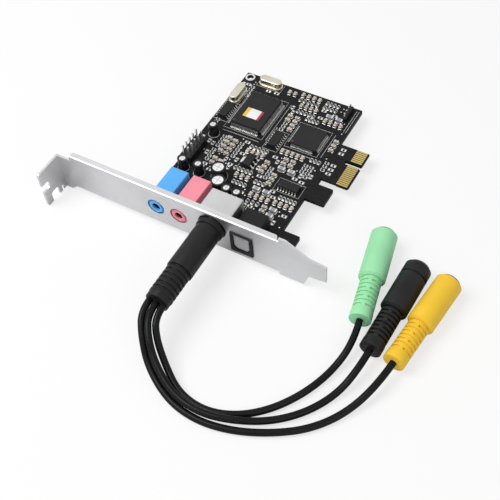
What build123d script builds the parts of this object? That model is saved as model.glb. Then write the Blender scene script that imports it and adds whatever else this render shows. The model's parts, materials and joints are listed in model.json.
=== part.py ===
from build123d import *
import math
import os

# Sound card for a short edge slot, lying component side up with its breakout cable plugged in.
# Frame: +X along the bracket from the screw tab to the tongue, +Y from the bracket to the board's
# far edge, +Z away from the board's component side. The card without its cable stands on z = 0,
# centred on the origin.

# Bracket: one folded steel sheet for a full-height slot
BRACKET_LENGTH = 120.02      # tab's outer face to the tongue's end
BRACKET_WIDTH = 18.42        # across the flanged stretch
SHEET = 0.9                  # steel thickness
BEND_RADIUS = 0.7            # outside of the folds
TAB_REACH = 12.2             # tab's outer edge from the bracket's outer face
TAB_HEIGHT = 16.0            # tab's upper edge above the bracket's lower edge
TAB_DROP = 2.1               # tab's lower edge below the bracket's lower edge
TAB_EAR = 3.8                # stretch of the face beside the tab that is as low as the tab
TAB_CORNER = 0.8
SLOT_LEVEL = 7.7             # middle of the slot in the tab's outer edge
SLOT_WIDTH = 3.6
SLOT_DEPTH = 4.3
NOTCH_FROM_FACE = 6.7        # middle of the screw notch from the bracket's outer face
NOTCH_WIDTH = 4.42
NOTCH_HEIGHT = 4.5
RELIEF_WIDTH = 1.0           # cut beside the tab's fold
RELIEF_FROM_FACE = 2.2
RELIEF_HEIGHT = 2.6
FLANGE_START = 7.2           # from the tab's outer face
FLANGE_DEPTH = 2.7           # from the bracket's outer face
FLANGE_CORNER = 1.1
END_LENGTH = 19.22           # flat stretch after the flanges, with the tongue
FLANGE_STOP = 1.3            # flanges' end from the flat stretch
END_DROP = 1.2               # its lower edge below the flanged stretch
END_RISE = 1.9               # its upper edge above the flanged stretch
END_SHOULDER_TOP = 16.4      # where its upper edge starts to slope, from the tongue's end
END_SHOULDER_LOW = 9.0       # where its lower edge starts to slope, from the tongue's end
TONGUE_LENGTH = 7.0
TONGUE_WIDTH = 10.19
TONGUE_BASE = 4.9            # tongue's lower edge above the bracket's lower edge
TONGUE_TAPER = 0.8
LUG_REACH = 8.4              # lugs on the board, from the bracket's outer face
LUG_WIDTH = 3.8
LUG_HOLE_FROM_END = 2.3
LUG_INSET = 0.1              # left lug from the board's upper edge

# Screws that hold the board to the bracket's lugs
SCREW_RADIUS = 1.25
SCREW_HEAD_RADIUS = 2.2
SCREW_HEAD_HEIGHT = 1.4
SCREW_SLOT_WIDTH = 0.6
SCREW_SLOT_DEPTH = 0.6
SCREW_CLEARANCE = 0.1

# Circuit board
BOARD_REACH = 86.8           # far edge from the bracket's outer face
BOARD_GAP = 3.0              # near edge from the bracket's outer face
BOARD_FROM_TAB = 38.6        # upper edge from the tab's outer face
BOARD_HEIGHT = 55.6          # upper edge to lower edge, without the edge connector
BOARD_THICKNESS = 1.6
BOARD_LEVEL = 2.46           # underside above the bracket's lower edge
BOARD_CORNER = 0.6
FOOT_LENGTH = 12.4           # foot beside the bracket, from the near edge
FOOT_DROP = 7.4              # below the board's lower edge
HOOK_START = 33.2            # from the bracket's outer face
HOOK_LENGTH = 8.8
HOOK_DROP = 8.3
SLIT_WIDTH = 3.1             # between the hook and the edge connector
SLIT_RISE = 1.2              # inner end of the slit below the board's lower edge
KEY_WIDTH = 1.9
KEY_DEPTH = 7.4
NEAR_TAB = 11.2              # long contact tab
FAR_TAB = 7.7                # short contact tab
CONTACT_DROP = 13.0          # contact tabs' edge below the board's lower edge
CONTACT_BEVEL = 0.5
CORNER_HOLE_RADIUS = 1.3
CORNER_HOLE_INSET = 2.4
HOLE_CLEARANCE = 0.15        # around a lead in its hole

# Edge contacts
NEAR_COUNT = 11
FAR_COUNT = 7
CONTACT_PITCH = 1.0
CONTACT_WIDTH = 0.7
CONTACT_LENGTH = 4.7
CONTACT_INSET = 0.6          # from the board's edge
CONTACT_THICKNESS = 0.06

# Moulded chips
DRAFT = 8                    # degrees, from the parting line
PIN_MARK_DEPTH = 0.1
AUDIO_WIDTH = 14.0
AUDIO_LENGTH = 20.0
AUDIO_HEIGHT = 2.4
AUDIO_SHORT_COUNT = 20       # leads on each short side
AUDIO_LONG_COUNT = 30
AUDIO_PITCH = 0.65
AUDIO_LEAD_REACH = 1.6
AUDIO_LEAD_WIDTH = 0.3
AUDIO_MARK_RADIUS = 0.6
BRIDGE_SIDE = 12.0
BRIDGE_HEIGHT = 1.4
BRIDGE_COUNT = 20            # leads on each side
BRIDGE_PITCH = 0.5
BRIDGE_LEAD_REACH = 1.0
BRIDGE_LEAD_WIDTH = 0.22
BRIDGE_MARK_RADIUS = 0.5
AMP_WIDTH = 3.9
AMP_LENGTH = 8.65
AMP_HEIGHT = 1.5
AMP_COUNT = 7                # leads on each long side
AMP_PITCH = 1.27
AMP_LEAD_REACH = 1.05
AMP_LEAD_WIDTH = 0.42
AMP_MARK_RADIUS = 0.35
CHIP_STANDOFF = 0.15
LEAD_THICKNESS = 0.16
LEAD_SHOULDER = 0.28         # bends of a gull-wing lead as shares of its reach
LEAD_KNEE = 0.52
REGULATOR_WIDTH = 3.5
REGULATOR_LENGTH = 6.5
REGULATOR_HEIGHT = 1.6
REGULATOR_PITCH = 2.3
REGULATOR_LEG = 0.7
REGULATOR_TAB = 3.0
REGULATOR_LEG_REACH = 1.7
REGULATOR_MARK_RADIUS = 0.35

# Can capacitors
SMALL_CAN_RADIUS = 1.9
LARGE_CAN_RADIUS = 2.9
CAN_HEIGHT = 5.5
CAN_CORNER = 0.35
SLEEVE_WALL = 0.15
SLEEVE_LIP = 0.3             # sleeve folded over the can's top
SLEEVE_CLEARANCE = 0.02
CAN_LEAD_RADIUS = 0.25

# Crystal cans
CRYSTAL_LENGTH = 10.2
CRYSTAL_WIDTH = 3.8
CRYSTAL_HEIGHT = 3.3
CRYSTAL_RIM = 0.45
CRYSTAL_RIM_HEIGHT = 0.5
CRYSTAL_LEAD_SPACING = 4.9
CRYSTAL_LEAD_RADIUS = 0.22

# Soldered chip parts: length, width and height by kind
CHIP_SIZES = {
    "resistor": (1.6, 0.85, 0.5),
    "capacitor": (2.0, 1.25, 1.0),
    "inductor": (3.0, 1.7, 1.3),
}
CAP_SHARE = 0.2              # soldered end cap as a share of the chip part's length

# Panel jacks for 3.5 mm plugs
LINE_JACK_X = 47.0           # port positions from the tab's outer face
MIC_JACK_X = 57.3
JACK_LEVEL = 5.1             # axis above the board
JACK_BORE_RADIUS = 1.8
JACK_BORE_DEPTH = 14.5
JACK_NOSE_RADIUS = 2.9
JACK_PORT_RADIUS = 3.8       # hole in the bracket
JACK_WIDTH = 8.0
JACK_HEIGHT = 8.3
JACK_BACK = 18.4             # from the bracket's outer face
JACK_CORNER = 0.4
BLADE_FROM_FACE = (4.6, 9.4, 13.2)
BLADE_WIDTH = 1.6
BLADE_THICKNESS = 0.4
BLADE_CLEARANCE = 0.1
BLADE_LEG_WIDTH = 0.8

# Round mini socket
DIN_X = 72.4
DIN_LEVEL = 7.1              # axis above the board
DIN_WIDTH = 13.6             # shield, outside
DIN_TOP = 5.9                # shield's top above the axis
DIN_BACK = 12.6              # from the bracket's outer face
SHIELD_WALL = 0.4
SHIELD_LEG_WIDTH = 1.4
SHIELD_LEG_FROM_FACE = 7.0
DIN_BOSS_RADIUS = 5.9
DIN_PORT_RADIUS = 6.05
DIN_GROOVE_DEPTH = 6.6       # groove for the plug's shell, from the boss's front
DIN_GROOVE_CLEARANCE = 0.1
DIN_CORE_CLEARANCE = 0.05
DIN_PIN_RADIUS = 0.45
DIN_PIN_CLEARANCE = 0.06
DIN_LEG_RADIUS = 0.35
DIN_ROWS = (                 # height above the axis, spread across it, legs' distance behind the core
    (2.2, (-2.1, 0.0, 2.1), 2.4),
    (0.0, (-2.7, 0.0, 2.7), 1.5),
    (-2.2, (-1.1, 1.1), 0.6),
)

# Optical port
OPTICAL_X = 85.1
OPTICAL_BASE = 2.7           # nose's lower face above the bracket's lower edge
OPTICAL_WIDTH = 9.4
OPTICAL_HEIGHT = 10.3
OPTICAL_PROUD = 0.6          # nose in front of the bracket's outer face
OPTICAL_BACK = 12.8          # from the bracket's outer face
OPTICAL_SIDE = 1.25          # walls around the mouth
OPTICAL_SILL = 1.8
OPTICAL_LINTEL = 0.5
OPTICAL_DEPTH = 9.3          # back of the cavity from the bracket's outer face
OPTICAL_WALL = 0.8           # wall between the cavity and the emitter
OPTICAL_KEY = 1.2            # cut lower corners of the mouth
OPTICAL_CLEARANCE = 0.15     # nose in the bracket's cut-out
FERRULE_RADIUS = 1.4
DOOR_THICKNESS = 0.8
DOOR_CLEARANCE = 0.15
DOOR_RECESS = 0.9            # pin's axis behind the nose's front
PIN_RADIUS = 0.4
PIN_RUNNING = 0.05
PIN_SEAT = 0.6               # pin's ends in the side walls
PIN_BELOW_LINTEL = 0.85
KNUCKLE_RADIUS = 0.7
SPRING_LENGTH = 2.2
SPRING_WALL = 0.2
SPRING_LEG = 3.0
SPRING_LEG_WIDTH = 0.5
EMITTER_WIDTH = 5.2
EMITTER_HEIGHT = 6.4
EMITTER_DEPTH = 2.2
EMITTER_CLEARANCE = 0.1
EMITTER_LENS_RADIUS = 1.1
EMITTER_PITCH = 1.9
EMITTER_LEG = 0.5

# Pin headers: rows across the board, pins along it
PANEL_ROW_COUNT = 2
PANEL_PIN_COUNT = 5
PANEL_PITCH = 2.54
PANEL_BASE_HEIGHT = 2.5
PANEL_PIN = 0.64
PANEL_PIN_HEIGHT = 7.2
PANEL_INSET = 0.4            # base from the board's upper edge
AUX_PIN_COUNT = 4
AUX_PITCH = 2.0
AUX_BASE_HEIGHT = 1.7
AUX_PIN = 0.5
AUX_PIN_HEIGHT = 3.8
HEADER_FIT = 0.01
LEAD_TAIL = 1.3              # leads below the board

# Breakout plug, along -Y from the bracket
SHELL_RADIUS = 4.75
SHELL_WALL = 0.35
SHELL_LENGTH = 11.0
SHELL_ENGAGE = 5.6           # beyond the bracket's outer face, into the socket
PLUG_PIN_ENGAGE = 4.8
INSERT_LENGTH = 4.0
INSERT_CLEARANCE = 0.03
PLUG_START = 0.5             # overmould from the bracket's outer face
PLUG_COLLAR_RADIUS = 5.6
PLUG_COLLAR = 1.9
PLUG_GROOVE_RADIUS = 4.9
PLUG_GROOVE = 0.5
PLUG_RADIUS = 5.2
PLUG_BODY_END = 23.0
PLUG_LENGTH = 38.0
PLUG_RIB_COUNT = 6
PLUG_RIB_RADIUS = 4.8
PLUG_NECK_RADIUS = 4.25
PLUG_END_RADIUS = 4.6
PLUG_END = 2.4
RIB_GAP_SHARE = 0.45         # groove as a share of the pitch of the ribs, on all strain reliefs

# In-line jacks on the cords, each about its own axis from the mouth to the cord
INLINE_RADIUS = 5.1
INLINE_LENGTH = 39.6
INLINE_BODY = 22.0
INLINE_EDGE = 0.7
INLINE_SHOULDER = 0.8
INLINE_RIB_COUNT = 8
INLINE_RIB_RADIUS = 4.0
INLINE_NECK_RADIUS = 3.3
INLINE_END_RADIUS = 4.1
INLINE_END = 3.2
LINER_RADIUS = 2.9
LINER_DEPTH = 16.5
LINER_CLEARANCE = 0.03
INLINE_BORE_RADIUS = 1.8
INLINE_BORE_DEPTH = 15.0
SPRING_SLOT_START = 6.5
SPRING_SLOT_LENGTH = 6.4
SPRING_STRIP = 0.25
SPRING_SLOT = 0.45
SPRING_STRIP_WIDTH = 1.0

# Cords
CORD_RADIUS = 1.3
CORD_SPACING = 2.9           # between the cords' middles at the plug's end
CORD_LIFT = 0.15             # above the floor they lie on
JACK_LIFT = 0.05             # in-line jacks above the same floor
ARC_SHARE = 0.45             # of the shorter run beside a bend, taken by the bend's arc

SAME_PLACE = 0.01            # for picking edges by their position

# Places derived from the driving dimensions
TAB_X = -BRACKET_LENGTH / 2
END_X = -TAB_X - END_LENGTH
FACE_Y = (TAB_REACH - BOARD_REACH) / 2
EDGE_Z = TAB_DROP
TOP_Z = EDGE_Z + BRACKET_WIDTH
INNER_Y = FACE_Y + SHEET
BOARD_BOTTOM = EDGE_Z + BOARD_LEVEL
BOARD_TOP = BOARD_BOTTOM + BOARD_THICKNESS
BOARD_LEFT = TAB_X + BOARD_FROM_TAB
BOARD_RIGHT = BOARD_LEFT + BOARD_HEIGHT
BOARD_NEAR = FACE_Y + BOARD_GAP
BOARD_FAR = FACE_Y + BOARD_REACH
CONNECTORS_BACK = FACE_Y + JACK_BACK
LEAD_BOTTOM = BOARD_BOTTOM - LEAD_TAIL
JACK_Z = BOARD_TOP + JACK_LEVEL
DIN_Z = BOARD_TOP + DIN_LEVEL
DIN_CENTRE_X = TAB_X + DIN_X
OPTICAL_CENTRE_X = TAB_X + OPTICAL_X
OPTICAL_LOW = EDGE_Z + OPTICAL_BASE
OPTICAL_HIGH = OPTICAL_LOW + OPTICAL_HEIGHT
OPTICAL_FRONT = FACE_Y - OPTICAL_PROUD
MOUTH_HALF = OPTICAL_WIDTH / 2 - OPTICAL_SIDE
MOUTH_LOW = OPTICAL_LOW + OPTICAL_SILL
MOUTH_HIGH = OPTICAL_HIGH - OPTICAL_LINTEL
HINGE_Y = OPTICAL_FRONT + DOOR_RECESS
HINGE_Z = MOUTH_HIGH - PIN_BELOW_LINTEL
SLIT_START = FACE_Y + HOOK_START + HOOK_LENGTH
NEAR_TAB_START = SLIT_START + SLIT_WIDTH
KEY_START = NEAR_TAB_START + NEAR_TAB
FAR_TAB_START = KEY_START + KEY_WIDTH
FAR_TAB_END = FAR_TAB_START + FAR_TAB
CONTACT_EDGE = BOARD_RIGHT + CONTACT_DROP
LUG_LEFT_X = BOARD_LEFT + LUG_INSET + LUG_WIDTH / 2
LUG_RIGHT_X = BOARD_RIGHT + FOOT_DROP / 2
LUG_HOLE_Y = FACE_Y + LUG_REACH - LUG_HOLE_FROM_END
PLUG_END_Y = FACE_Y - PLUG_LENGTH
CORD_Z = CORD_RADIUS + CORD_LIFT
INLINE_Z = INLINE_RADIUS + JACK_LIFT

# Routes of the cords' middles, from the plug's end to the in-line jack
GREEN_ROUTE = [
    (DIN_CENTRE_X + CORD_SPACING, PLUG_END_Y, DIN_Z),
    (DIN_CENTRE_X + CORD_SPACING, PLUG_END_Y - 5.4, DIN_Z),
    (17.9, -86.2, 10.4),
    (23.5, -91.5, 5.1),
    (33.4, -97.2, 1.9),
    (44.4, -99.0, CORD_Z),
    (55.0, -95.8, CORD_Z),
    (64.4, -88.4, CORD_Z),
    (71.8, -77.6, CORD_Z),
    (76.4, -65.6, CORD_Z),
    (78.8, -54.0, INLINE_Z),
    (76.9, -44.6, INLINE_Z),
]
BLACK_ROUTE = [
    (DIN_CENTRE_X, PLUG_END_Y, DIN_Z),
    (DIN_CENTRE_X, PLUG_END_Y - 5.4, DIN_Z),
    (14.9, -86.9, 10.2),
    (21.2, -93.7, 4.9),
    (32.2, -100.2, 1.8),
    (44.4, -102.0, CORD_Z),
    (56.0, -99.0, CORD_Z),
    (66.6, -92.6, CORD_Z),
    (75.6, -83.6, CORD_Z),
    (81.8, -72.6, CORD_Z),
    (84.8, -62.4, INLINE_Z),
    (85.1, -53.9, INLINE_Z),
]
YELLOW_ROUTE = [
    (DIN_CENTRE_X - CORD_SPACING, PLUG_END_Y, DIN_Z),
    (DIN_CENTRE_X - CORD_SPACING, PLUG_END_Y - 5.5, DIN_Z),
    (12.0, -87.6, 10.0),
    (19.0, -95.8, 4.6),
    (31.2, -103.0, 1.7),
    (44.4, -104.9, CORD_Z),
    (57.0, -101.9, CORD_Z),
    (69.0, -96.0, CORD_Z),
    (79.6, -88.2, CORD_Z),
    (87.6, -77.4, CORD_Z),
    (93.0, -65.0, INLINE_Z),
    (94.2, -54.8, INLINE_Z),
]

parts = {}


def block(x, y, z):
    """Box between a low and a high value on each axis."""
    middle = [(low + high) / 2 for low, high in (x, y, z)]
    size = [high - low for low, high in (x, y, z)]
    return Pos(*middle) * Box(*size)


def rod_z(radius, x, y, low, high):
    """Round rod along Z."""
    return Pos(x, y, (low + high) / 2) * Cylinder(radius, high - low)


def rod_y(radius, x, z, low, high):
    """Round rod along Y."""
    return Pos(x, (low + high) / 2, z) * Rot(90, 0, 0) * Cylinder(radius, high - low)


def rod_x(radius, y, z, low, high):
    """Round rod along X."""
    return Pos((low + high) / 2, y, z) * Rot(0, 90, 0) * Cylinder(radius, high - low)


def on_board(across, along):
    """Place on the board behind the connectors, in percent of that area's sides."""
    x = BOARD_LEFT + BOARD_HEIGHT * across / 100
    y = CONNECTORS_BACK + (BOARD_FAR - CONNECTORS_BACK) * along / 100
    return x, y


def group(solids):
    """Separate solids that share a node."""
    return Compound(children=[solid for piece in solids for solid in piece.solids()])


# Places of the parts on the board
AUDIO_PLACE = on_board(29, 68.6)
BRIDGE_PLACE = on_board(76.5, 63.7)
AMP_PLACES = [(on_board(55.3, 54.1), 0), (on_board(86, 24.3), 90), (on_board(6.5, 63.2), 0)]
REGULATOR_PLACE = on_board(48, 31.9)
SMALL_CAN_PLACES = [
    on_board(10, 42.9),
    on_board(7.6, 10.8),
    on_board(20.5, 11.3),
    on_board(50.4, 2.7),
    on_board(58.8, 2.5),
]
LARGE_CAN_PLACES = [on_board(35.5, 14.2), on_board(41.5, 5.4)]
CRYSTAL_PLACES = [(on_board(5.6, 78.7), 90), (on_board(23.5, 95.8), 0)]
PANEL_PLACE = (BOARD_LEFT + PANEL_INSET + PANEL_ROW_COUNT * PANEL_PITCH / 2, on_board(0, 25.3)[1])
AUX_PLACE = on_board(91.5, 92.6)

# Rows of soldered chip parts: kind, start in percent as above, count, step in mm, quarter turn
CHIP_ROWS = [
    ("capacitor", (41, 94.4), 2, (2.6, 0), True),
    ("capacitor", (52, 95.8), 4, (2.6, 0), True),
    ("resistor", (52, 91.7), 5, (2.0, 0), True),
    ("resistor", (72.5, 96.3), 4, (1.7, 0), True),
    ("resistor", (72.5, 92.2), 4, (1.7, 0), True),
    ("capacitor", (56, 86.8), 4, (2.3, 0), True),
    ("resistor", (56, 82.1), 5, (1.8, 0), True),
    ("capacitor", (53.5, 76), 2, (0, -2.5), False),
    ("capacitor", (59.5, 76), 4, (0, -2.4), False),
    ("resistor", (53.5, 69.4), 3, (0, -1.9), False),
    ("inductor", (81, 85.3), 2, (4.3, 0), False),
    ("capacitor", (79.5, 80.9), 4, (2.4, 0), True),
    ("resistor", (66, 78.4), 4, (1.6, 0), True),
    ("capacitor", (65, 47.8), 5, (2.3, 0), True),
    ("resistor", (88, 49.3), 3, (1.7, 0), True),
    ("capacitor", (71.5, 42.7), 2, (3.2, 0), False),
    ("capacitor", (71.5, 39.2), 2, (3.2, 0), False),
    ("inductor", (73, 34.8), 2, (4.4, 0), False),
    ("resistor", (87, 44.1), 3, (0, -1.9), False),
    ("resistor", (91.5, 44.1), 4, (0, -1.9), False),
    ("capacitor", (60.5, 35.8), 3, (0, -2.6), False),
    ("resistor", (66, 33.1), 4, (0, -1.8), False),
    ("capacitor", (71, 28.7), 3, (0, -2.4), False),
    ("resistor", (61.5, 19.9), 3, (1.8, 0), True),
    ("inductor", (66, 14.7), 2, (4.4, 0), False),
    ("capacitor", (64.5, 9.8), 4, (2.5, 0), True),
    ("resistor", (84.5, 15.5), 5, (1.6, 0), True),
    ("capacitor", (83.5, 10.6), 4, (2.4, 0), True),
    ("resistor", (65, 5.2), 3, (2.2, 0), True),
    ("inductor", (86, 4.9), 2, (0, -3.2), False),
    ("capacitor", (79, 4.9), 3, (0, -2.2), False),
    ("resistor", (42, 43.2), 5, (1.8, 0), True),
    ("capacitor", (42, 39), 4, (2.3, 0), True),
    ("resistor", (41.5, 24.5), 5, (1.8, 0), True),
    ("capacitor", (46, 19.6), 3, (2.5, 0), True),
    ("resistor", (47, 14.5), 4, (1.7, 0), True),
    ("capacitor", (29, 42.7), 4, (0, -2.6), False),
    ("resistor", (34.5, 42.7), 5, (0, -1.9), False),
    ("capacitor", (29.5, 24.5), 2, (0, -2.4), False),
    ("resistor", (19, 43.6), 4, (0, -1.9), False),
    ("capacitor", (23.6, 43.6), 4, (0, -2.6), False),
    ("resistor", (18.5, 31.4), 4, (0, -1.9), False),
    ("capacitor", (24, 25.3), 2, (0, -2.6), False),
    ("resistor", (5, 54.7), 3, (0, -1.9), False),
    ("resistor", (11.7, 89), 4, (0, -1.9), False),
    ("resistor", (99.5, 51.2), 3, (0, -2.0), False),
    ("capacitor", (96.5, 68.6), 3, (0, -2.6), False),
]

# Leads and legs through the board: place and radius
CANS = [(place, SMALL_CAN_RADIUS) for place in SMALL_CAN_PLACES]
CANS += [(place, LARGE_CAN_RADIUS) for place in LARGE_CAN_PLACES]
CAN_LEADS = []
for centre, radius in CANS:
    CAN_LEADS += [(centre[0] - radius / 2, centre[1]), (centre[0] + radius / 2, centre[1])]
CRYSTAL_LEADS = []
for centre, turn in CRYSTAL_PLACES:
    half = CRYSTAL_LEAD_SPACING / 2
    along_x = half * math.cos(math.radians(turn))
    along_y = half * math.sin(math.radians(turn))
    CRYSTAL_LEADS.append((centre[0] - along_x, centre[1] - along_y))
    CRYSTAL_LEADS.append((centre[0] + along_x, centre[1] + along_y))
DIN_LEGS = []
for level, spread, behind in DIN_ROWS:
    DIN_LEGS += [(DIN_CENTRE_X + x, FACE_Y + DIN_BACK + behind) for x in spread]
EMITTER_BACK = FACE_Y + OPTICAL_DEPTH + OPTICAL_WALL + EMITTER_CLEARANCE + EMITTER_DEPTH
EMITTER_MIDDLE = EMITTER_BACK - EMITTER_DEPTH / 2
EMITTER_LEGS = [(OPTICAL_CENTRE_X + k * EMITTER_PITCH, EMITTER_MIDDLE) for k in (-1, 0, 1)]
PANEL_PINS_XY = []
for row in range(PANEL_ROW_COUNT):
    row_x = PANEL_PLACE[0] + (row - (PANEL_ROW_COUNT - 1) / 2) * PANEL_PITCH
    for pin in range(PANEL_PIN_COUNT):
        PANEL_PINS_XY.append((row_x, PANEL_PLACE[1] + (pin - (PANEL_PIN_COUNT - 1) / 2) * PANEL_PITCH))
AUX_START = AUX_PLACE[1] - (AUX_PIN_COUNT - 1) / 2 * AUX_PITCH
AUX_PINS_XY = [(AUX_PLACE[0], AUX_START + pin * AUX_PITCH) for pin in range(AUX_PIN_COUNT)]
BLADE_LEGS = [(TAB_X + x, FACE_Y + y) for x in (LINE_JACK_X, MIC_JACK_X) for y in BLADE_FROM_FACE]
LUG_HOLES = [(LUG_LEFT_X, LUG_HOLE_Y), (LUG_RIGHT_X, LUG_HOLE_Y)]


# Bracket
def make_bracket():
    right = -TAB_X
    flange_x = TAB_X + FLANGE_START
    tongue_low = EDGE_Z + TONGUE_BASE
    tongue_high = tongue_low + TONGUE_WIDTH
    outline = [
        (TAB_X, EDGE_Z - TAB_DROP),
        (TAB_X + TAB_EAR, EDGE_Z - TAB_DROP),
        (flange_x - TAB_CORNER, EDGE_Z),
        (END_X, EDGE_Z),
        (END_X, EDGE_Z - END_DROP),
        (right - END_SHOULDER_LOW, EDGE_Z - END_DROP),
        (right - TONGUE_LENGTH, tongue_low),
        (right, tongue_low + TONGUE_TAPER),
        (right, tongue_high - TONGUE_TAPER),
        (right - TONGUE_LENGTH, tongue_high),
        (right - END_SHOULDER_TOP, TOP_Z + END_RISE),
        (END_X, TOP_Z + END_RISE),
        (END_X, TOP_Z),
        (flange_x, TOP_Z),
        (flange_x, EDGE_Z + TAB_HEIGHT),
        (TAB_X, EDGE_Z + TAB_HEIGHT),
    ]
    face = extrude(Plane.XZ.offset(-FACE_Y) * make_face(Polyline(*outline, close=True)), amount=-SHEET)

    tab_outer = FACE_Y - TAB_REACH
    tab_levels = (EDGE_Z - TAB_DROP, EDGE_Z + TAB_HEIGHT)
    tab = block((TAB_X, TAB_X + SHEET), (tab_outer, FACE_Y + SHEET), tab_levels)
    tab = fillet(tab.edges().filter_by(Axis.X).group_by(Axis.Y)[0], TAB_CORNER)

    flange_span = (flange_x, END_X - FLANGE_STOP)
    flanges = []
    for low in (EDGE_Z, TOP_Z - SHEET):
        flange = block(flange_span, (FACE_Y, FACE_Y + FLANGE_DEPTH), (low, low + SHEET))
        flanges.append(fillet(flange.edges().filter_by(Axis.Z).group_by(Axis.Y)[-1], FLANGE_CORNER))

    lugs = []
    for x in (LUG_LEFT_X, LUG_RIGHT_X):
        lug_span = (x - LUG_WIDTH / 2, x + LUG_WIDTH / 2)
        lug = block(lug_span, (FACE_Y, FACE_Y + LUG_REACH), (BOARD_TOP, BOARD_TOP + SHEET))
        lugs.append(fillet(lug.edges().filter_by(Axis.Z).group_by(Axis.Y)[-1], TAB_CORNER))

    bracket = face + tab + flanges + lugs
    folds = [
        edge
        for edge in bracket.edges().filter_by(Axis.X)
        if edge.length > BRACKET_LENGTH / 2 and abs(edge.center().Y - FACE_Y) < SAME_PLACE
    ]
    tab_fold = bracket.edges().filter_by(Axis.Z).group_by(Axis.X)[0].sort_by(Axis.Y)[-1]
    bracket = fillet(folds + [tab_fold], BEND_RADIUS)

    slot_end = tab_outer + SLOT_DEPTH - SLOT_WIDTH / 2
    slot_z = EDGE_Z + SLOT_LEVEL
    slot_levels = (slot_z - SLOT_WIDTH / 2, slot_z + SLOT_WIDTH / 2)
    through_tab = (TAB_X - SHEET, TAB_X + 2 * SHEET)
    cuts = [
        block(through_tab, (tab_outer - SHEET, slot_end), slot_levels),
        rod_x(SLOT_WIDTH / 2, slot_end, slot_z, *through_tab),
    ]
    notch_y = FACE_Y - NOTCH_FROM_FACE
    notch_top = EDGE_Z - TAB_DROP + NOTCH_HEIGHT
    notch_span = (notch_y - NOTCH_WIDTH / 2, notch_y + NOTCH_WIDTH / 2)
    notch = block(through_tab, notch_span, (EDGE_Z - TAB_DROP - SHEET, notch_top))
    cuts.append(fillet(notch.edges().filter_by(Axis.X).group_by(Axis.Z)[-1], NOTCH_WIDTH / 4))
    relief_y = FACE_Y - RELIEF_FROM_FACE
    relief_span = (relief_y - RELIEF_WIDTH / 2, relief_y + RELIEF_WIDTH / 2)
    relief_low = EDGE_Z - TAB_DROP
    cuts.append(block(through_tab, relief_span, (relief_low - SHEET, relief_low + RELIEF_HEIGHT)))

    through_face = (FACE_Y - SHEET, FACE_Y + 2 * SHEET)
    for x in (LINE_JACK_X, MIC_JACK_X):
        cuts.append(rod_y(JACK_PORT_RADIUS, TAB_X + x, JACK_Z, *through_face))
    cuts.append(rod_y(DIN_PORT_RADIUS, DIN_CENTRE_X, DIN_Z, *through_face))
    half = OPTICAL_WIDTH / 2 + OPTICAL_CLEARANCE
    cuts.append(
        block(
            (OPTICAL_CENTRE_X - half, OPTICAL_CENTRE_X + half),
            through_face,
            (OPTICAL_LOW - OPTICAL_CLEARANCE, OPTICAL_HIGH + OPTICAL_CLEARANCE),
        )
    )
    through_lug = (BOARD_TOP - SHEET, BOARD_TOP + 2 * SHEET)
    for x, y in LUG_HOLES:
        cuts.append(rod_z(SCREW_RADIUS + SCREW_CLEARANCE, x, y, *through_lug))
    return bracket - cuts


def make_screw(x, y):
    """Cheese-head screw from the solder side, up through the board and the lug."""
    shank = rod_z(SCREW_RADIUS, x, y, BOARD_BOTTOM, BOARD_TOP + SHEET)
    head = rod_z(SCREW_HEAD_RADIUS, x, y, BOARD_BOTTOM - SCREW_HEAD_HEIGHT, BOARD_BOTTOM)
    head = chamfer(head.faces().sort_by(Axis.Z)[0].edges(), SCREW_HEAD_HEIGHT / 5)
    low = BOARD_BOTTOM - SCREW_HEAD_HEIGHT
    half = SCREW_SLOT_WIDTH / 2
    reach = 2 * SCREW_HEAD_RADIUS
    slot = block((x - reach, x + reach), (y - half, y + half), (low - SHEET, low + SCREW_SLOT_DEPTH))
    return head + shank - slot


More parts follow.
